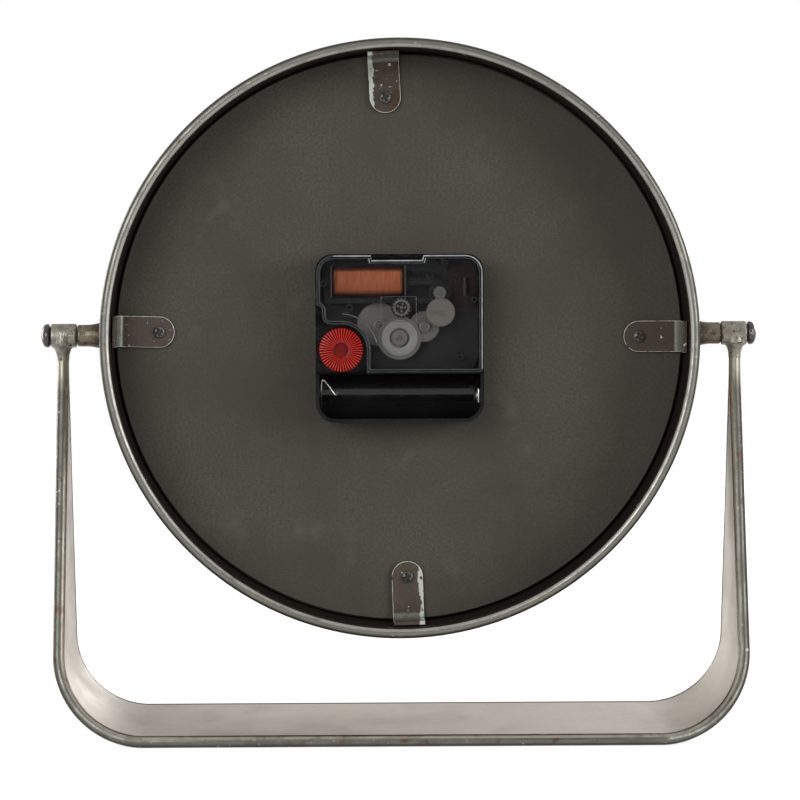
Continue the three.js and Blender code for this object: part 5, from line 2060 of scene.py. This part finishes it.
@dataclass
class Face:
    """The printed dial and the three hands."""

    numeral_height: float = 16.0
    digit_gap: float = 2.2
    numeral_radius: float = 68.0
    minute_ring: float = 84.0
    tick: Flat = (3.0, 0.7)  # length and width of a minute's mark
    bar: Flat = (5.5, 1.8)  # of an hour's mark
    ink: float = 0.06  # how far the print stands up, drawn so that it shows
    hole: float = 4.1  # radius of the dial's middle hole
    steps: int = 192  # flats round the dial
    time: tuple[int, int, int] = (10, 9, 35)  # hours, minutes and seconds shown
    hands: tuple[Hand, ...] = (
        Hand(
            "hour_hand",
            "bevelled_hour_hand",
            "hour",
            5.0,
            ((2.7, -14), (3.4, 0), (2.4, 26), (1.6, 48.4), (0, 50)),
        ),
        Hand(
            "minute_hand",
            "bevelled_minute_hand",
            "minute",
            4.0,
            ((2.2, -16), (2.8, 0), (2.0, 38), (1.2, 72.8), (0, 74)),
        ),
        Hand(
            "second_hand",
            "slim_second_hand",
            "seconds",
            2.6,
            ((0.8, -22), (1.0, 0), (0.5, 77.5), (0, 78)),
        ),
    )
    box: Box = field(default_factory=lambda: Box.of("dial"))

    def __post_init__(self) -> None:
        """Works out the dial's middle."""
        self.centre = self.box.middle.z
        self.front = self.box.low.y

    def sheet(self) -> Piece:
        """Models the dial's sheet with its middle hole.

        Returns:
            The sheet.
        """
        radius, rear = self.box.high.x, self.box.high.y
        section = [(self.hole, self.front), (radius, self.front), (radius, rear), (self.hole, rear)]
        piece = placed(turned("dial_sheet", section, self.steps), (0, 0, self.centre))
        for face in piece.data.polygons:
            face.material_index = int(face.normal.y > -0.5)
        return smooth(piece, 30)

    def marks(self) -> Piece:
        """Models the minute marks, longer and wider at the hours.

        Returns:
            The marks.
        """
        shapes = []
        for length, width in (self.bar, self.tick):
            low = (-width / 2, self.front - self.ink, self.minute_ring - length / 2)
            high = (width / 2, self.front + self.ink / 2, self.minute_ring + length / 2)
            shapes.append(block("mark", low, high))
        up = Matrix.Translation((0, 0, self.centre * MM))
        turns = [Matrix.Rotation(math.radians(6 * minute), 4, "Y") for minute in range(60)]
        made = [copied(shapes[minute % 5 > 0], "mark", up @ turn) for minute, turn in enumerate(turns)]
        for shape in shapes:
            bpy.data.objects.remove(shape)
        return assembled("dial_marks", made)

    def digit(self, sign: str) -> Piece:
        """Models one digit lying flat, its left foot at the origin. The one gets a flag.

        Args:
            sign: The digit.

        Returns:
            The digit.
        """
        height, half = self.numeral_height * MM, self.ink / 2 * MM
        if sign == "1":
            stem, flag = 0.13 * height, 0.2 * height
            low, top = height - 0.34 * height, height - 0.2 * height
            shape = [(flag, 0), (flag + stem, 0), (flag + stem, height), (flag + 0.1 * stem, height)]
            shape += [(0, low + 0.1 * height), (0, low), (flag, top - 0.02 * height)]
            figure = outline("digit", [(x / MM, y / MM, -half / MM) for x, y in shape], filled=True)
            with editing(figure):
                bpy.ops.mesh.extrude_region_move(TRANSFORM_OT_translate={"value": (0, 0, 2 * half)})
            return closed(figure)
        bpy.ops.object.select_all(action="DESELECT")
        bpy.ops.object.text_add()
        figure = bpy.context.active_object
        figure.data.body = sign
        figure.data.extrude = half
        figure.data.resolution_u = 6
        bpy.ops.object.convert(target="MESH")
        figure = bpy.context.active_object
        corners = [vertex.co for vertex in figure.data.vertices]
        left, foot = min(corner.x for corner in corners), min(corner.y for corner in corners)
        scale = height / (max(corner.y for corner in corners) - foot)
        fit = Matrix.Diagonal((scale, scale, 1, 1)) @ Matrix.Translation((-left, -foot, 0))
        figure.data.transform(fit)
        return figure

    def numerals(self) -> Piece:
        """Models the numerals from 1 to 12, upright.

        Returns:
            The numerals.
        """
        made = []
        for hour in range(1, 13):
            reach = 0.0
            digits = []
            for sign in str(hour):
                figure = self.digit(sign)
                width = max(vertex.co.x for vertex in figure.data.vertices)
                figure.data.transform(Matrix.Translation((reach, 0, 0)))
                reach += width + self.digit_gap * MM
                digits.append(figure)
            numeral = assembled(f"numeral_{hour}", digits)
            middle = Vector(((reach - self.digit_gap * MM) / 2, self.numeral_height * MM / 2, 0))
            numeral.data.transform(Matrix.Translation(-middle))
            angle = math.radians(30 * hour)
            place = Vector((math.sin(angle), 0, math.cos(angle))) * self.numeral_radius
            place += Vector((0, self.front - self.ink / 2, self.centre))
            made.append(placed(numeral, place, Turn.UP))
        return assembled("dial_numerals", made)

    def hand(self, hand: Hand, angle: float) -> Piece:
        """Models a hand as a bevelled blade with a hub.

        Args:
            hand: The hand.
            angle: Where it points, in degrees clockwise from twelve.

        Returns:
            The new piece.
        """
        solid = Box.of(hand.node)
        front, rear, hub = solid.low.y, solid.high.y, hand.hub
        left = [(-x, z) for x, z in reversed(hand.blade)]
        piece = plate(hand.name, [*hand.blade, *left[1:]], front, rear)
        combined(piece, "UNION", rod("hub", hub, (front, rear), sides=40))
        bevelled(piece, 0.14, 2, 40)
        dome = [(0, 0), (hub * 0.55, 0), (hub * 0.5, -0.22), (hub * 0.3, -0.3), (0, -0.32)]
        cap = placed(turned("cap", dome, 32), (0, front + 0.02, 0))
        piece = assembled(hand.name, [piece, cap])
        turn = Matrix.Rotation(math.radians(angle), 4, "Y")
        piece.data.transform(Matrix.Translation((0, 0, self.centre * MM)) @ turn)
        return smooth(piece, 35)

    def build(self) -> None:
        """Models the face and dresses it."""
        settle(self.sheet(), "case", [CREAM_SHEET, CHARCOAL_BOARD], ["dial"])
        settle(self.marks(), "case", [BLACK_INK])
        settle(self.numerals(), "case", [BLACK_INK])
        hours, minutes, seconds = self.time
        minute = minutes + seconds / 60
        angles = (30 * (hours + minute / 60), 6 * minute, 6 * seconds)
        for hand, angle in zip(self.hands, angles):
            settle(self.hand(hand, angle), hand.body, [SATIN_BLACK], [hand.node])


# ---- studio


@dataclass
class Lamp:
    """A soft rectangular lamp."""

    name: str
    place: Point
    size: Flat
    watts: float


@dataclass
class Card:
    """A black card that only polished surfaces see."""

    name: str
    place: Point
    size: Flat


@dataclass
class Studio:
    """Floor, backdrop light, lamps and camera."""

    eye: Point = (16.9, 1370.0, 163.0)
    target: Point = (-0.2, 0.0, 111.2)
    roll: float = -0.24  # degrees
    focal: float = 4077.0  # in pixels of the picture
    photo_width: float = 800.0
    sensor: float = 36.0
    aim: Point = (0.0, 0.0, 120.0)  # what the lamps point at
    floor_size: float = 4200.0
    floor_drop: float = 0.2  # how far the floor lies under the feet
    even: float = 0.6  # strength of the world's light, which is 1 where it is seen
    glow: float = 0.8  # strength of the floor's light where it is seen
    card_depth: float = 10.0
    cards: tuple[Card, ...] = (
        Card("rear_card", (0.0, 2300.0, 500.0), (2600.0, 2400.0)),
        Card("front_card", (0.0, -2300.0, 500.0), (2600.0, 2400.0)),
    )
    lamps: tuple[Lamp, ...] = (
        Lamp("key", (700.0, 1300.0, 500.0), (900.0, 700.0), 13.0),
        Lamp("fill", (-1400.0, 1000.0, 400.0), (900.0, 900.0), 19.0),
        Lamp("front_key", (-700.0, -1300.0, 500.0), (900.0, 700.0), 13.0),
        Lamp("front_fill", (1400.0, -1000.0, 400.0), (900.0, 900.0), 19.0),
    )

    def world(self) -> None:
        """Lights the scene evenly and shows white to the camera, to metal and to glass."""
        world = bpy.data.worlds.new("studio")
        bpy.context.scene.world = world
        tree = emptied(world)
        light = {"Color": linear("#ffffff"), "Strength": spread(tree, self.seen(tree), self.even, 1.0)}
        shader = add_node(tree, "ShaderNodeBackground", {}, light)
        add_node(tree, "ShaderNodeOutputWorld", {}, {"Surface": shader.outputs[0]})

    def seen(self, tree: Tree) -> Mask:
        """Adds a mask of the rays that show a background: from the camera, off metal or through glass.

        Args:
            tree: The node tree.

        Returns:
            The mask.
        """
        path = add_node(tree, "ShaderNodeLightPath")
        largest = path.outputs["Is Camera Ray"]
        for ray in ("Is Glossy Ray", "Is Transmission Ray"):
            pair = {0: largest, 1: path.outputs[ray]}
            largest = add_node(tree, "ShaderNodeMath", {"operation": "MAXIMUM"}, pair).outputs[0]
        return largest

    def floor(self) -> None:
        """Lays a floor that shows white and keeps the clock's soft shadow."""
        plane = bpy.ops.mesh.primitive_plane_add
        piece = added("floor", plane, size=self.floor_size * MM, location=(0, 0, -self.floor_drop * MM))
        material = bpy.data.materials.new("white_paper_floor")
        tree = emptied(material)
        paper = add_node(tree, "ShaderNodeBsdfDiffuse", {}, {"Color": linear("#a2a2a0")})
        glow = spread(tree, self.seen(tree), 0.0, self.glow)
        light = add_node(tree, "ShaderNodeEmission", {}, {"Strength": glow})
        sheet = add_node(tree, "ShaderNodeAddShader", {}, {0: paper.outputs[0], 1: light.outputs[0]})
        add_node(tree, "ShaderNodeOutputMaterial", {}, {"Surface": sheet.outputs[0]})
        piece.data.materials.append(material)

    def shade(self) -> None:
        """Stands the black cards, so that polished and black surfaces have something dark to show."""
        material = bpy.data.materials.new("black_velvet_card")
        tree = emptied(material)
        velvet = add_node(tree, "ShaderNodeBsdfDiffuse", {}, {"Color": linear("#0c0c0c")})
        add_node(tree, "ShaderNodeOutputMaterial", {}, {"Surface": velvet.outputs[0]})
        for card in self.cards:
            place = Vector(card.place)
            half = Vector((card.size[0], self.card_depth, card.size[1])) / 2
            piece = block(card.name, place - half, place + half)
            piece.data.materials.append(material)
            piece.visible_camera = False
            piece.visible_diffuse = False
            piece.visible_shadow = False

    def light(self) -> None:
        """Hangs the lamps."""
        for lamp in self.lamps:
            data = bpy.data.lights.new(lamp.name, "AREA")
            data.shape = "RECTANGLE"
            data.size, data.size_y = (side * MM for side in lamp.size)
            data.energy = lamp.watts
            holder = bpy.data.objects.new(lamp.name, data)
            bpy.context.scene.collection.objects.link(holder)
            place = Vector(lamp.place) * MM
            holder.location = place
            direction = Vector(self.aim) * MM - place
            holder.rotation_euler = direction.to_track_quat("-Z", "Y").to_euler()

    def camera(self) -> None:
        """Sets the camera where the photograph was taken from."""
        data = bpy.data.cameras.new("camera")
        data.sensor_width = self.sensor
        data.lens = self.focal / self.photo_width * self.sensor
        data.clip_end = 100
        holder = bpy.data.objects.new("camera", data)
        bpy.context.scene.collection.objects.link(holder)
        place = Vector(self.eye) * MM
        look = (Vector(self.target) * MM - place).to_track_quat("-Z", "Y").to_matrix().to_4x4()
        roll = Matrix.Rotation(math.radians(self.roll), 4, "Z")
        holder.matrix_world = Matrix.Translation(place) @ look @ roll
        bpy.context.scene.camera = holder

    def build(self) -> None:
        """Sets up the studio."""
        bpy.context.scene.view_settings.view_transform = "Standard"
        self.camera()
        self.world()
        self.floor()
        self.shade()
        self.light()


def main() -> None:
    """Builds each sub-assembly in order."""
    for assembly in (Studio(), Stand(), Pivots(), Case(), Clips(), Movement(), Face()):
        LOG.info("building %s", type(assembly).__name__)
        assembly.build()


if __name__ == "__main__":
    main()
